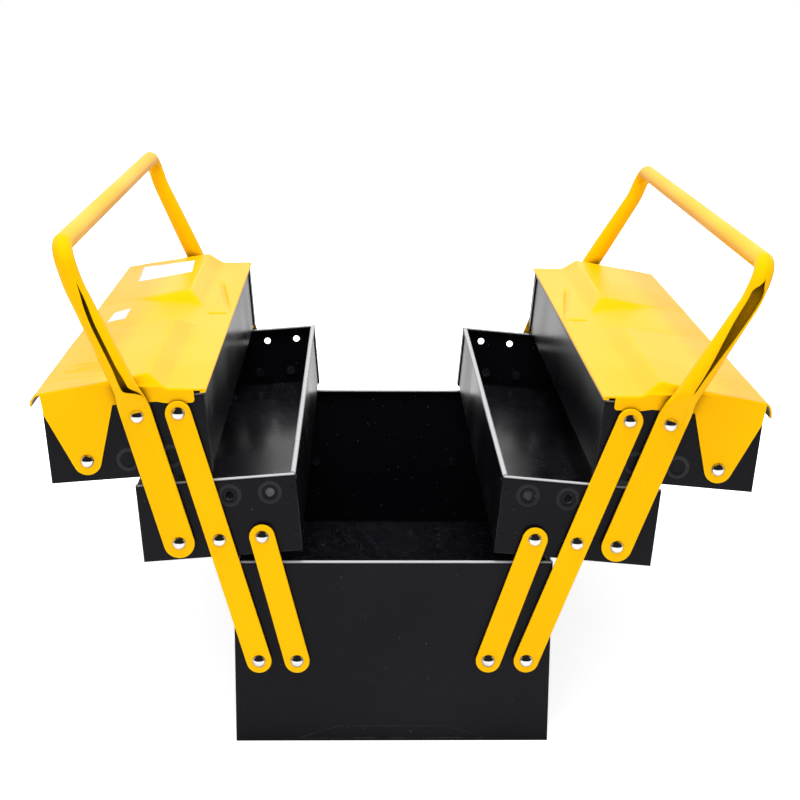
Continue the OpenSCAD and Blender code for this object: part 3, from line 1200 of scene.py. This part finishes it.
@dataclass(frozen=True)
class Seam:
    """Open seam of a handle's leg, from where it opens to where it closes.

    The seam is low wide at its foot and grows to high. bearings are those of its foot, leg and top,
    in degrees from the end's own direction to +X, and it turns from one to the next over the spans
    settles and turning. All spans are heights above the upper pivot.
    """

    low: float
    high: float
    opens: Span
    grows: Span
    closes: Span
    bearings: tuple[float, float, float]
    settles: Span = (0.0, 1.0)
    turning: Span = (0.0, 1.0)

    def gap(self, s: float) -> float:
        """Width of the seam at a height."""
        width = self.low + (self.high - self.low) * smooth_step(s, *self.grows)
        return width * plateau(s, self.opens, self.closes)

    def turn(self, s: float) -> float:
        """Find which way the seam's middle faces.

        Args:
            s: Height along the leg.

        Returns:
            Its bearing in radians.
        """
        foot, leg, top = self.bearings
        return math.radians(foot + (leg - foot) * smooth_step(s, *self.settles)
                            + (top - leg) * smooth_step(s, *self.turning))


SEAMS = {
    Side.LEFT: Seam(low=4.4, high=2.6, opens=(11.0, 20.0), grows=(24.0, 38.0), closes=(76.0, 97.0),
                    bearings=(80.0, 8.0, 35.0), settles=(11.0, 22.0), turning=(62.0, 98.0)),
    Side.RIGHT: Seam(low=1.0, high=9.5, opens=(25.0, 30.0), grows=(32.0, 92.0),
                     closes=(99.0, 109.0), bearings=(9.0, 9.0, 9.0)),
}
MAIN_BEND = {Side.LEFT: 8.3, Side.RIGHT: 10.8}  # outward bend of the handles' legs, in degrees


@dataclass
class Handle:
    """Carrying handle: a rolled tube with an open seam on its legs, pressed flat into straps.

    Heights along a leg, and the spans of them, are measured from the strap's upper pivot.
    """

    strap_w: float = 20.0
    strap_t: float = 2.2
    stand: float = 2.1
    strap_top: float = 3.0
    swell: Span = (2.5, 25.0)
    flat_power: float = 9.0
    bend: Span = (12.0, 28.0)
    unbend: Span = (86.0, 100.0)
    top_bend: float = 0.8
    leg_end: float = 105.0
    neck_d: float = 14.8
    neck: Span = (25.0, 104.0)
    tube_d: float = 12.8
    tube_t: float = 1.5
    fill: float = 0.9
    corner_r: float = 13.0
    lip: float = 0.45
    hairline: float = 0.01
    chamfer: float = 0.5
    groove_w: float = 8.0
    groove_depth: float = 0.5
    groove_in: float = 1.2
    hole_r: float = 2.56
    slack_r: float = 2.65
    around: int = 48
    step: float = 1.5
    corner_steps: int = 16
    bar_steps: int = 24

    def diameter(self, s: float) -> float:
        """Outside diameter of the rolled leg at a height."""
        return self.neck_d + (self.tube_d - self.neck_d) * smooth_step(s, *self.neck)

    def half_depth(self, s: float) -> float:
        """Half of the leg's depth along the box at a height."""
        flat = self.strap_t / 2
        return flat + (self.diameter(s) / 2 - flat) * smooth_step(s, *self.swell)

    def half_width(self, s: float) -> float:
        """Half of the leg's width at a height."""
        flat = self.strap_w / 2
        return flat + (self.diameter(s) / 2 - flat) * smooth_step(s, *self.swell)

    def stations(self, link: Linkage) -> list[tuple[Vector, Vector, Vector, float, float]]:
        """Stations along half of the handle, from the flat strap to the middle of the crossbar.

        Args:
            link: The side's linkage.

        Returns:
            For each station its centre, its outward direction from web to seam and its cross
            direction, all in (across, along the box, up) of the strap's frame, then its height
            along the leg and the share of the crossbar, 0 on the leg and 1 on the bar.
        """
        main, inner = MAIN_BEND[link.side], link.end_y + self.stand
        result = []
        s, x, z = self.swell[0], 0.0, self.swell[0]
        while True:
            turn = math.radians(main * smooth_step(s, *self.bend)
                                + (self.top_bend - main) * smooth_step(s, *self.unbend))
            up = Vector((math.sin(turn), 0.0, math.cos(turn)))
            cross = Vector((math.cos(turn), 0.0, -math.sin(turn)))
            centre = Vector((x, -inner - self.half_depth(s), z))
            result.append((centre, Vector((0.0, -1.0, 0.0)), cross, s, 0.0))
            if s >= self.leg_end:
                break
            gone = min(self.step, self.leg_end - s)
            x, z, s = x + gone * up.x, z + gone * up.z, s + gone
        foot = centre + Vector((0.0, self.corner_r, 0.0))
        for i in range(1, self.corner_steps + 1):
            share = i / self.corner_steps
            t = math.pi / 2 * share
            out = Vector((0.0, -math.cos(t), 0.0)) + up * math.sin(t)
            result.append((foot + out * self.corner_r, out, cross, s + self.corner_r * t, share))
        last, _, _, s, _ = result[-1]
        for i in range(1, self.bar_steps + 1):
            centre = last - Vector((0.0, last.y * i / self.bar_steps, 0.0))
            result.append((centre, up, cross, s, 1.0))
        return result

    def section(self, side: Side, s: float, bar: float) -> list[Point]:
        """Closed cross-section at a station: across, and outward from the tube's centre.

        Args:
            side: The handle's side, because both seams face the same way.
            s: Height along the leg.
            bar: Share of the crossbar.

        Returns:
            The section's points, outer face first.
        """
        wide, deep = (half + (self.tube_d / 2 - half) * bar
                      for half in (self.half_width(s), self.half_depth(s)))
        flat = (1 - smooth_step(s, *self.swell)) * (1 - bar)
        power = 2 / (2 + (self.flat_power - 2) * flat * flat)
        thick = min(self.tube_t, self.fill * deep)
        seam = SEAMS[side]
        open_half = (seam.gap(s) + self.hairline) / 2 / ((wide + deep - thick) / 2)
        first = side.value * seam.turn(s) + open_half
        sweep = math.tau - 2 * open_half
        loop = []
        for depth, order, inward in ((0.0, range(self.around + 1), 1),
                                     (thick, range(self.around, -1, -1), -1)):
            for i in order:
                t = first + sweep * i / self.around
                rounded = thick * self.lip / 2 * (1 - bar) * (i in (0, self.around))
                inset = depth + inward * rounded
                sin_t, cos_t = math.sin(t), math.cos(t)
                loop.append(((wide - inset) * math.copysign(abs(sin_t) ** power, sin_t),
                             (deep - inset) * math.copysign(abs(cos_t) ** power, cos_t)))
        return loop

    def build(self, link: Linkage, shop: Workshop) -> None:
        """Build a side's handle in one piece.

        Args:
            link: The side's linkage.
            shop: The finishes.
        """
        pivot = link.pivot("handle_turn")
        place = Place(link.side, pivot.x, pivot.y, link.lean)
        built = bmesh.new()
        rows = []
        for end in End:
            chain = []
            for centre, out, cross, s, bar in self.stations(link):
                points = [centre + cross * a + out * b for a, b in self.section(link.side, s, bar)]
                chain.append([place.world(p.x, -end.value * p.y, p.z) for p in points])
            rows += chain if end is End.FRONT else chain[-2::-1]
        made = [add_row(built, row) for row in rows]
        loft(built, made)
        for cap in (made[0], made[-1]):
            loft(built, [cap[:self.around + 1], cap[:self.around:-1]], closed=False)
        for end in End:
            self.strap(built, link, place, end)
        seal(built)
        name = f"{link.side.label}_handle"
        piece = make_piece(f"{name}_rolled", built)
        piece.data.set_sharp_from_angle(angle=SHARP)
        even_shading(piece)
        shop.settle(piece, Slot.YELLOW, name, name)

    def strap(self, built: Built, link: Linkage, place: Place, end: End) -> None:
        """Add one flat strap, with its rivet holes, its pressed groove and its chamfered edges.

        Args:
            built: The bmesh that gets it.
            link: The side's linkage.
            place: The handle's frame, at its upper pivot.
            end: The end of the box it is on.
        """
        reach = (link.pivot("handle_turn") - link.strap_low).length
        inner = link.end_y + self.stand
        outer = inner + self.strap_t
        groove_y = outer - self.groove_depth

        def row(points: list[Point], y: float) -> list[Vert]:
            """Vertices of flat points at a depth along the box."""
            return add_row(built, place.outline(points, end.value * y))

        def side_edge(inset: float) -> list[Point]:
            """Right edge of the strap from its lowest point to the top, moved in by an inset."""
            foot = half_slot(-reach, -reach, self.strap_w - 2 * inset)
            return foot[:len(foot) // 2 + 1] + [(self.strap_w / 2 - inset, self.strap_top)]

        low_hole = half_slot(-reach, -reach, 2 * self.slack_r)
        high_hole = half_slot(0.0, 0.0, 2 * self.hole_r)
        groove, floor = (half_slot(self.strap_w - reach, -self.strap_w, width)
                         for width in (self.groove_w, self.groove_w - 2 * self.groove_in))
        edge = side_edge(self.chamfer) + [(0.0, self.strap_top)]
        for y, outline, cuts in ((inner, edge, [low_hole, high_hole]),
                                 (outer, edge, [low_hole, groove, high_hole]),
                                 (groove_y, floor, [])):
            split_face(built, outline, cuts, place.at(end.value * y))
        chains = []
        for inset, y in ((self.chamfer, inner), (0.0, inner + self.chamfer),
                         (0.0, outer - self.chamfer), (self.chamfer, outer)):
            half = side_edge(inset)
            chains.append(row([(-x, z) for x, z in reversed(half[1:])] + half, y))
        loft(built, chains, closed=False)
        built.faces.new([chain[0] for chain in chains] + [chain[-1] for chain in reversed(chains)])
        for low, low_y, high, high_y in ((groove, outer, floor, groove_y),
                                         (low_hole, inner, low_hole, outer),
                                         (high_hole, inner, high_hole, outer)):
            loft(built, [row(mirrored(low), low_y), row(mirrored(high), high_y)])


LIPS = {Side.LEFT: (7.0, 8.0), Side.RIGHT: (4.4, 9.6)}  # reach and drop of the lids' outer lips
DENTS = {Side.LEFT: 1.3, Side.RIGHT: 0.2}  # depth of the dents near the lids' front corners
LABELS = {Side.LEFT: {
    "large_blank_label": ((40.0, 207.7), (-6.3, 196.1), (-9.6, 139.2), (35.8, 135.9)),
    "small_blank_label": ((38.9, -22.7), (38.1, 11.5), (26.6, 21.3), (26.0, -16.6)),
}}


@dataclass
class Lid:
    """Pressed lid: raised panels with a valley between them, hemmed, lipped and flanged.

    Sizes that end in _in are distances outward from the lid's inner edge, and the panels' heights
    are above it. Other distances across the lid are outward from the tray's middle. Each panel is
    cut by an inner bevel, from its foot to its ridge, by an outer slope, and by a hip towards the
    valley, which meets them where ridge_end and merge_end say.
    """

    link: Linkage
    sheet: float = 1.2
    gap: float = 0.35
    reach: float = 1.5
    over: float = 0.5
    rise: float = 4.6
    foot_in: float = 25.0
    ridge_in: float = 36.0
    ridge_rise: float = 11.8
    merge_in: float = 81.5
    crown_rise: float = 6.2
    valley_half: float = 31.0
    ridge_end: float = 55.0
    merge_end: float = 57.0
    end_slope: float = 8.0
    blend: float = 1.6
    hem: float = 4.0
    flange_in: float = 8.0
    ear_gap: float = 0.4
    bend_r: float = 1.6
    skirt_drop: float = 3.0
    skirt_tip: float = 5.4
    toe: tuple[Point, ...] = ((24.0, 2.4), (14.0, 0.0), (1.6, 0.0), (0.5, 0.5), (0.0, 1.6))
    ear_r: float = 9.0
    ear_in: float = 20.2
    ear_shoulder: float = 6.2
    hole_r: float = 2.56
    crease_depth: float = 2.1
    crease_w: float = 1.9
    crease_corner: Point = (-50.0, 6.2)
    crease_tips: tuple[Point, Point] = ((-32.9, 140.6), (-32.6, 4.2))
    crease_fade: Span = (0.8, 1.0)
    dent_across: tuple[Span, Span] = ((0.0, 18.0), (38.0, 50.0))
    dent_along: tuple[Span, Span] = ((110.0, 140.0), (196.0, 216.0))
    dent_size: Point = (30.0, 8.0)
    dent_seed: float = 7.0
    wave: float = 0.15
    wave_size: Point = (38.0, 55.0)
    wave_seed: float = 3.0
    calm_end: float = 25.0
    calm_edge: float = 10.0
    edge: float = 0.3
    hem_slack: float = 0.02
    past_foot: float = 2.0
    past_ridge: float = 3.0
    column_counts: tuple[int, ...] = (8, 22, 14, 28)
    close_end: float = 14.0
    past_middle: float = 12.0
    row_counts: tuple[int, ...] = (14, 66, 18, 62, 14)
    nose_steps: int = 6
    lip_steps: int = 10
    bend_steps: int = 5
    ear_steps: int = 24

    def __post_init__(self) -> None:
        """Work out the lid's edges from the tray it covers, and the slopes of its panels."""
        self.place, width, self.tray_h = self.link.tray(Row.TOP)
        self.tray_x = width / 2
        self.in_x = -self.tray_x - self.reach
        self.out_x = self.tray_x + self.over
        self.in_z = self.tray_h + self.gap + 2 * self.sheet
        self.end = self.link.end_y + self.ear_gap + self.sheet
        self.pivot = Vector(self.place.local(self.link.pivot("lid_turn")))
        self.foot, self.ridge = self.in_x + self.foot_in, self.in_x + self.ridge_in
        self.fall = (self.ridge_rise - self.rise) / (self.out_x - self.ridge)
        merge_z = self.outer(self.in_x + self.merge_in)
        self.floor_slope = merge_z / self.merge_in
        self.foot_z = self.floor_slope * self.foot_in
        a, b = self.ridge_in - self.foot_in, self.ridge_end - self.valley_half
        c, d = self.merge_in - self.foot_in, self.merge_end - self.valley_half
        e, f = self.ridge_rise - self.foot_z, merge_z - self.foot_z
        det = a * d - b * c
        self.hip_slopes = (e * d - b * f) / det, (a * f - e * c) / det

    def base(self, x: float) -> float:
        """Height of the crowned sheet that the panels rise from, above the inner edge.

        Args:
            x: Outward distance from the tray's middle.

        Returns:
            The height.
        """
        gone = x - self.in_x
        rising = self.crown_rise * gone / self.merge_in
        slope = (self.rise - self.crown_rise) / (self.out_x - self.in_x - self.merge_in)
        return soft_min(rising, self.crown_rise + slope * (gone - self.merge_in), self.blend)

    def outer(self, x: float) -> float:
        """Height of the slope that falls to the outer edge, above the inner edge."""
        return self.rise + self.fall * (self.out_x - x)

    def panel(self, x: float, y: float) -> float:
        """Height of a raised panel above the inner edge: the lowest of its bevel, slope and hip.

        Args:
            x: Outward distance from the tray's middle.
            y: Distance along the box.

        Returns:
            The height.
        """
        gone = x - self.foot
        bevel = self.foot_z + (self.ridge_rise - self.foot_z) * gone / (self.ridge - self.foot)
        across, along = self.hip_slopes
        hip = self.foot_z + across * gone + along * (abs(y) - self.valley_half)
        return soft_min(soft_min(bevel, self.outer(x), self.blend), hip, self.blend)

    def dents(self, x: float, y: float) -> float:
        """Height of the small dents near the lid's outer front corner.

        Args:
            x: Outward distance from the tray's middle.
            y: Distance along the box.

        Returns:
            The height, below 0 in a dent.
        """
        reach = plateau(x, *self.dent_across) * plateau(-y, *self.dent_along)
        across, along = self.dent_size
        bumps = noise.noise(Vector((x / across, y / along, self.dent_seed)))
        return DENTS[self.link.side] * reach * bumps

    def crease(self, x: float, y: float) -> float:
        """Depth of the thin pressed corner line at a point of the inner strip.

        Args:
            x: Outward distance from the tray's middle.
            y: Distance along the box.

        Returns:
            The depth.
        """
        corner = Vector(self.crease_corner)
        spot = Vector((x, y)) - corner
        deepest = 0.0
        for tip in self.crease_tips:
            d = Vector(tip) - corner
            t = min(1.0, max(0.0, spot.dot(d) / d.length_squared))
            away = (spot - d * t).length / self.crease_w
            deepest = max(deepest, math.exp(-away ** 2) * (1 - smooth_step(t, *self.crease_fade)))
        return self.crease_depth * deepest

    def height(self, x: float, y: float) -> float:
        """Height of the lid's upper face above the tray's underside.

        Args:
            x: Outward distance from the tray's middle.
            y: Distance along the box.

        Returns:
            The height.
        """
        floor = self.floor_slope * (x - self.in_x)
        top = soft_max(soft_min(floor, self.outer(x), self.blend), self.panel(x, y), self.blend)
        inward = self.end - abs(y)
        top = soft_min(top, self.base(x) + self.ridge_rise / self.end_slope * inward, self.blend)
        calm = smooth_step(inward, 0.0, self.calm_end)
        calm *= smooth_step(x - self.in_x, 0.0, self.calm_edge)
        across, along = self.wave_size
        seed = self.wave_seed * self.link.side.value
        ripple = noise.noise(Vector((x / across, y / along, seed)))
        pressed = (ripple * self.wave - self.crease(x, y)) * calm
        return self.in_z + top + pressed + self.dents(x, y)

    def columns(self) -> list[float]:
        """Outward distances at which the lid's sheet is cut into strips."""
        edges = (self.sheet, self.flange_in, self.foot_in + self.past_foot,
                 self.ridge_in + self.past_ridge)
        return cut_spans([*(self.in_x + gone for gone in edges), self.out_x], self.column_counts)

    def rows(self) -> list[float]:
        """Distances along the box at which the lid's sheet is cut, closest by the crease's end."""
        last = self.end - self.bend_r
        inner = last - self.close_end
        return cut_spans([-last, -inner, 0.0, self.past_middle, inner, last], self.row_counts)

    def ear_low(self) -> list[Point]:
        """Lower outline of an end flange, from its outer shoulder round the ear to its inner end.

        Returns:
            The outline's points in the tray's frame.
        """
        near = Vector((self.pivot.x - self.ear_in, self.tray_h - self.skirt_drop))
        far = Vector((self.tray_x - self.sheet / 2, self.tray_h - self.ear_shoulder))

        def touch(point: Vector, turn: int) -> float:
            """Bearing at which the line from a point touches the ear's circle."""
            d = point - self.pivot
            return math.atan2(d.y, d.x) + turn * math.acos(self.ear_r / d.length)

        start, stop = touch(far, -1), touch(near, 1) - math.tau
        turns = cut_spans([start, stop], (self.ear_steps,))
        arc = [self.pivot + self.ear_r * Vector((math.cos(t), math.sin(t))) for t in turns]
        tip = Vector((self.in_x + self.flange_in, self.tray_h - self.skirt_tip))
        return [tuple(p) for p in (far, *arc, near, *(tip + Vector(p) for p in self.toe))]

    def strip(self, y: float, xs: list[float]) -> list[Vector]:
        """One cut across the lid, from the hem's edge to the lip's.

        Args:
            y: Distance along the box.
            xs: Outward distances of the sheet's columns.

        Returns:
            The cut's points: the hem's edge, the round nose, the sheet and the lip.
        """
        top = [(x, self.height(x, y)) for x in xs]
        nose_z, edge_z = top[0][1], top[-1][1]
        nose_turns = (math.pi * i / self.nose_steps for i in range(self.nose_steps, 0, -1))
        r = self.sheet
        nose = [(self.in_x + r * (1 - math.sin(t)), nose_z - r * (1 - math.cos(t)))
                for t in nose_turns]
        reach, drop = LIPS[self.link.side]
        lip_turns = (math.pi / 2 * i / self.lip_steps for i in range(1, self.lip_steps + 1))
        lip = [(self.out_x + reach * math.sin(t), edge_z - drop * (1 - math.cos(t)))
               for t in lip_turns]
        hem = (self.in_x + self.hem, nose_z - 2 * self.sheet)
        return self.place.outline([hem, *nose, *top, *lip], y)

    def build(self, shop: Workshop) -> None:
        """Build the lid's sheet, thicken it and round its edges.

        Args:
            shop: The finishes.
        """
        built = bmesh.new()
        xs = self.columns()
        grid = [add_row(built, self.strip(y, xs)) for y in self.rows()]
        loft(built, grid, closed=False)
        first = 1 + self.nose_steps
        hinge, stop = first + self.column_counts[0], first + len(xs)
        for end, row in ((End.FRONT, grid[0]), (End.BACK, grid[-1])):
            out = Vector((0, end.value * self.bend_r * MM, 0))
            for part in (row[:hinge + 1], row[stop - 1:]):
                loft(built, [part, add_row(built, [v.co + out for v in part])], closed=False)
            self.flange(built, end, row[hinge:stop], xs[hinge - first:])
        seal(built)
        face_up(built)
        name = f"{self.link.side.label}_lid"
        piece = make_piece(f"{name}_pressing", built)
        thick = thicken(piece, "sheet", self.sheet - self.hem_slack)
        thick.offset = -1.0
        thick.use_even_offset = True
        soften(piece, self.edge, segments=2, angle=SHARP)
        shop.settle(piece, Slot.YELLOW, name, name)

    def flange(self, built: Built, end: End, top: list[Vert], xs: list[float]) -> None:
        """Bend the sheet down at one end and cut it to the ear's outline.

        Args:
            built: The bmesh that gets the faces.
            end: Which end of the box.
            top: Vertices along the end of the sheet.
            xs: Their outward distances.
        """
        bend_y = self.end - self.bend_r
        levels = [(x, self.height(x, bend_y)) for x in xs]
        rows = [top]
        for i in range(1, self.bend_steps + 1):
            t = math.pi / 2 * i / self.bend_steps
            bent = [(x, z - self.bend_r * (1 - math.cos(t))) for x, z in levels]
            y = bend_y + self.bend_r * math.sin(t)
            rows.append(add_row(built, self.place.outline(bent, end.value * y)))
        loft(built, rows, closed=False)
        outline = [(x, z - self.bend_r) for x, z in levels] + self.ear_low()
        pierced_face(built, outline, self.pivot, self.hole_r, self.place.at(end.value * self.end))

    def sticker(self, name: str, corners: tuple[Point, ...], shop: Workshop, cells: int = 16,
                lift: float = 0.12, paper: float = 0.1) -> None:
        """Lay a blank label on the lid, shaped to its face.

        Args:
            name: The piece's name.
            corners: Its corners as (outward, along the box), in order.
            shop: The finishes.
            cells: Number of cells along each edge.
            lift: Height of the label above the lid's face.
            paper: The paper's thickness.
        """
        a, b, c, d = (Vector(p) for p in corners)
        shares = [i / cells for i in range(cells + 1)]
        built = bmesh.new()
        rows = []
        for s in shares:
            points = [a.lerp(b, t).lerp(d.lerp(c, t), s) for t in shares]
            rows.append(add_row(built, [self.place.world(p.x, p.y, self.height(p.x, p.y) + lift)
                                        for p in points]))
        loft(built, rows, closed=False)
        seal(built)
        face_up(built)
        piece = make_piece(name, built)
        thicken(piece, "paper", paper)
        piece.data.materials.append(shop.label)
        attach(piece, f"{self.link.side.label}_lid")
        LOG.info("%s rides on the lid", name)


# ---- studio ----

@dataclass(frozen=True)
class Lamp:
    """One soft square light that no gloss mirrors. Its power is in watts."""

    name: str
    place: tuple[float, float, float]
    size: float
    power: float

    def hang(self, aim: Vector) -> None:
        """Hang the light.

        Args:
            aim: The point it faces.
        """
        data = bpy.data.lights.new(self.name, "AREA")
        data.shape = "SQUARE"
        data.size = self.size
        data.energy = self.power
        body = bpy.data.objects.new(self.name, data)
        body.location = self.place
        body.rotation_euler = (aim - Vector(self.place)).to_track_quat("-Z", "Y").to_euler()
        body.visible_glossy = False
        bpy.context.scene.collection.objects.link(body)


@dataclass
class Studio:
    """Plain pale floor, soft light and the camera, in metres and degrees.

    The camera sees the floor glow by near_glow close to the box, and by 1 more beyond the span
    fade. Gloss mirrors a dim room, and behind the box a white wall, which comes up where a
    direction's Y is in the span wall_back and its Z, turned over, is in the span wall_low.
    """

    lens: float = 75.88
    place: tuple[float, float, float] = (-0.021, -1.25896, 0.50898)
    yaw: float = 1.35
    pitch: float = -14.79
    roll: float = 0.49
    floor_half: float = 6.0
    floor_z: float = -0.0002
    floor_colour: Colour = (0.93, 0.93, 0.93)
    near_glow: float = 0.75
    fade: Span = (0.25, 0.9)
    ambient: float = 0.55
    dark: float = 0.015
    wall_back: Span = (-0.25, 0.35)
    wall_low: Span = (-0.9, -0.45)
    aim: tuple[float, float, float] = (0.0, 0.0, 0.15)
    lamps: tuple[Lamp, ...] = (Lamp("overhead", (0.0, -0.2, 2.2), size=1.2, power=42.0),
                               Lamp("front", (-0.5, -2.2, 1.0), size=1.6, power=13.0))

    def camera(self) -> None:
        """Stand the camera where the photo was taken."""
        data = bpy.data.cameras.new("camera")
        data.sensor_width = 36.0
        data.lens = self.lens
        yaw, pitch, roll = (math.radians(a) for a in (self.yaw, self.pitch, self.roll))
        flat = math.cos(pitch)
        ahead = Vector((math.sin(yaw) * flat, math.cos(yaw) * flat, math.sin(pitch)))
        right = Vector((math.cos(yaw), -math.sin(yaw), 0.0))
        up = right.cross(ahead)
        across = right * math.cos(roll) + up * math.sin(roll)
        above = up * math.cos(roll) - right * math.sin(roll)
        turn = Matrix((across, above, -ahead)).transposed().to_4x4()
        body = bpy.data.objects.new("camera", data)
        body.matrix_world = Matrix.Translation(self.place) @ turn
        bpy.context.scene.collection.objects.link(body)
        bpy.context.scene.camera = body

    def floor(self) -> None:
        """Lay the pale floor."""
        built = bmesh.new()
        corners = [(self.floor_half * x, self.floor_half * y, self.floor_z)
                   for x, y in ((-1, -1), (1, -1), (1, 1), (-1, 1))]
        built.faces.new(add_row(built, corners))
        piece = make_piece("floor", built)
        made, tree, shader = start_material("pale_floor")
        shader.inputs["Base Color"].default_value = (*self.floor_colour, 1.0)
        shader.inputs["Roughness"].default_value = 0.9
        shader.inputs["Specular IOR Level"].default_value = 0.0
        seen = add_node(tree, "ShaderNodeLightPath")
        spot = add_node(tree, "ShaderNodeTexCoord")
        away = add_node(tree, "ShaderNodeVectorMath", operation="LENGTH")
        tree.links.new(spot.outputs["Object"], away.inputs[0])
        fade = ranged(tree, away.outputs["Value"], self.fade)
        glow = math_node(tree, "ADD", self.near_glow, fade)
        shader.inputs["Emission Color"].default_value = (1.0, 1.0, 1.0, 1.0)
        tree.links.new(math_node(tree, "MULTIPLY", seen.outputs["Is Camera Ray"], glow),
                       shader.inputs["Emission Strength"])
        piece.data.materials.append(made)

    def world(self) -> None:
        """Set the soft surroundings: a white backdrop behind, and a dim room in front and above."""
        world = bpy.data.worlds.new("surroundings")
        bpy.context.scene.world = world
        world.use_nodes = True
        tree = world.node_tree
        back = tree.nodes["Background"]
        place = add_node(tree, "ShaderNodeTexCoord")
        parts = add_node(tree, "ShaderNodeSeparateXYZ")
        tree.links.new(place.outputs["Generated"], parts.inputs[0])
        behind = ranged(tree, parts.outputs["Y"], self.wall_back)
        low = ranged(tree, math_node(tree, "SUBTRACT", 0.0, parts.outputs["Z"]), self.wall_low)
        room = math_node(tree, "MAXIMUM", math_node(tree, "MULTIPLY", behind, low), self.dark)
        ray = add_node(tree, "ShaderNodeLightPath")
        glossy = ray.outputs["Is Glossy Ray"]
        shown = math_node(
            tree, "MAXIMUM", ray.outputs["Is Camera Ray"], ray.outputs["Is Transmission Ray"])
        other = math_node(tree, "SUBTRACT", 1.0, math_node(tree, "MAXIMUM", shown, glossy))
        bright = math_node(tree, "MAXIMUM", shown, math_node(tree, "MULTIPLY", glossy, room))
        soft = math_node(tree, "MULTIPLY", self.ambient, other)
        back.inputs["Color"].default_value = (1.0, 1.0, 1.0, 1.0)
        tree.links.new(math_node(tree, "ADD", bright, soft), back.inputs["Strength"])

    def build(self) -> None:
        """Build the whole studio."""
        bpy.context.scene.view_settings.view_transform = "Standard"
        self.camera()
        self.floor()
        self.world()
        for lamp in self.lamps:
            lamp.hang(Vector(self.aim))


def main() -> None:
    """Build the tool box's looks and its studio."""
    logging.basicConfig(level=logging.INFO, format="%(message)s")
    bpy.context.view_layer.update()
    groups = {g.name: g for g in (kind().build() for kind in (PaintSkin, EdgeWear, Dust, Recess))}
    finishes = {Slot.BLACK: BLACK, Slot.YELLOW: AMBER, Slot.RIVET: CHROME, Slot.WASHER: ZINC}
    shop = Workshop({slot: finish.material(groups) for slot, finish in finishes.items()},
                    LABEL.material(groups), RING_SHEEN.material(groups))
    end_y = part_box("base_end_back")[1].y / MM
    links = {side: Linkage(side, end_y) for side in Side}
    Studio().build()
    boxes = PressedBoxes()
    boxes.dress(shop)
    Rivets().build_all(links, shop)
    for side, link in links.items():
        Arms().build(link, shop)
        Handle().build(link, shop)
        boxes.build(link, shop)
        lid = Lid(link)
        lid.build(shop)
        for name, corners in LABELS.get(side, {}).items():
            lid.sticker(name, corners, shop)
    LOG.info("%d pieces dressed", shop.count)
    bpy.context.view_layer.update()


if __name__ == "__main__":
    main()
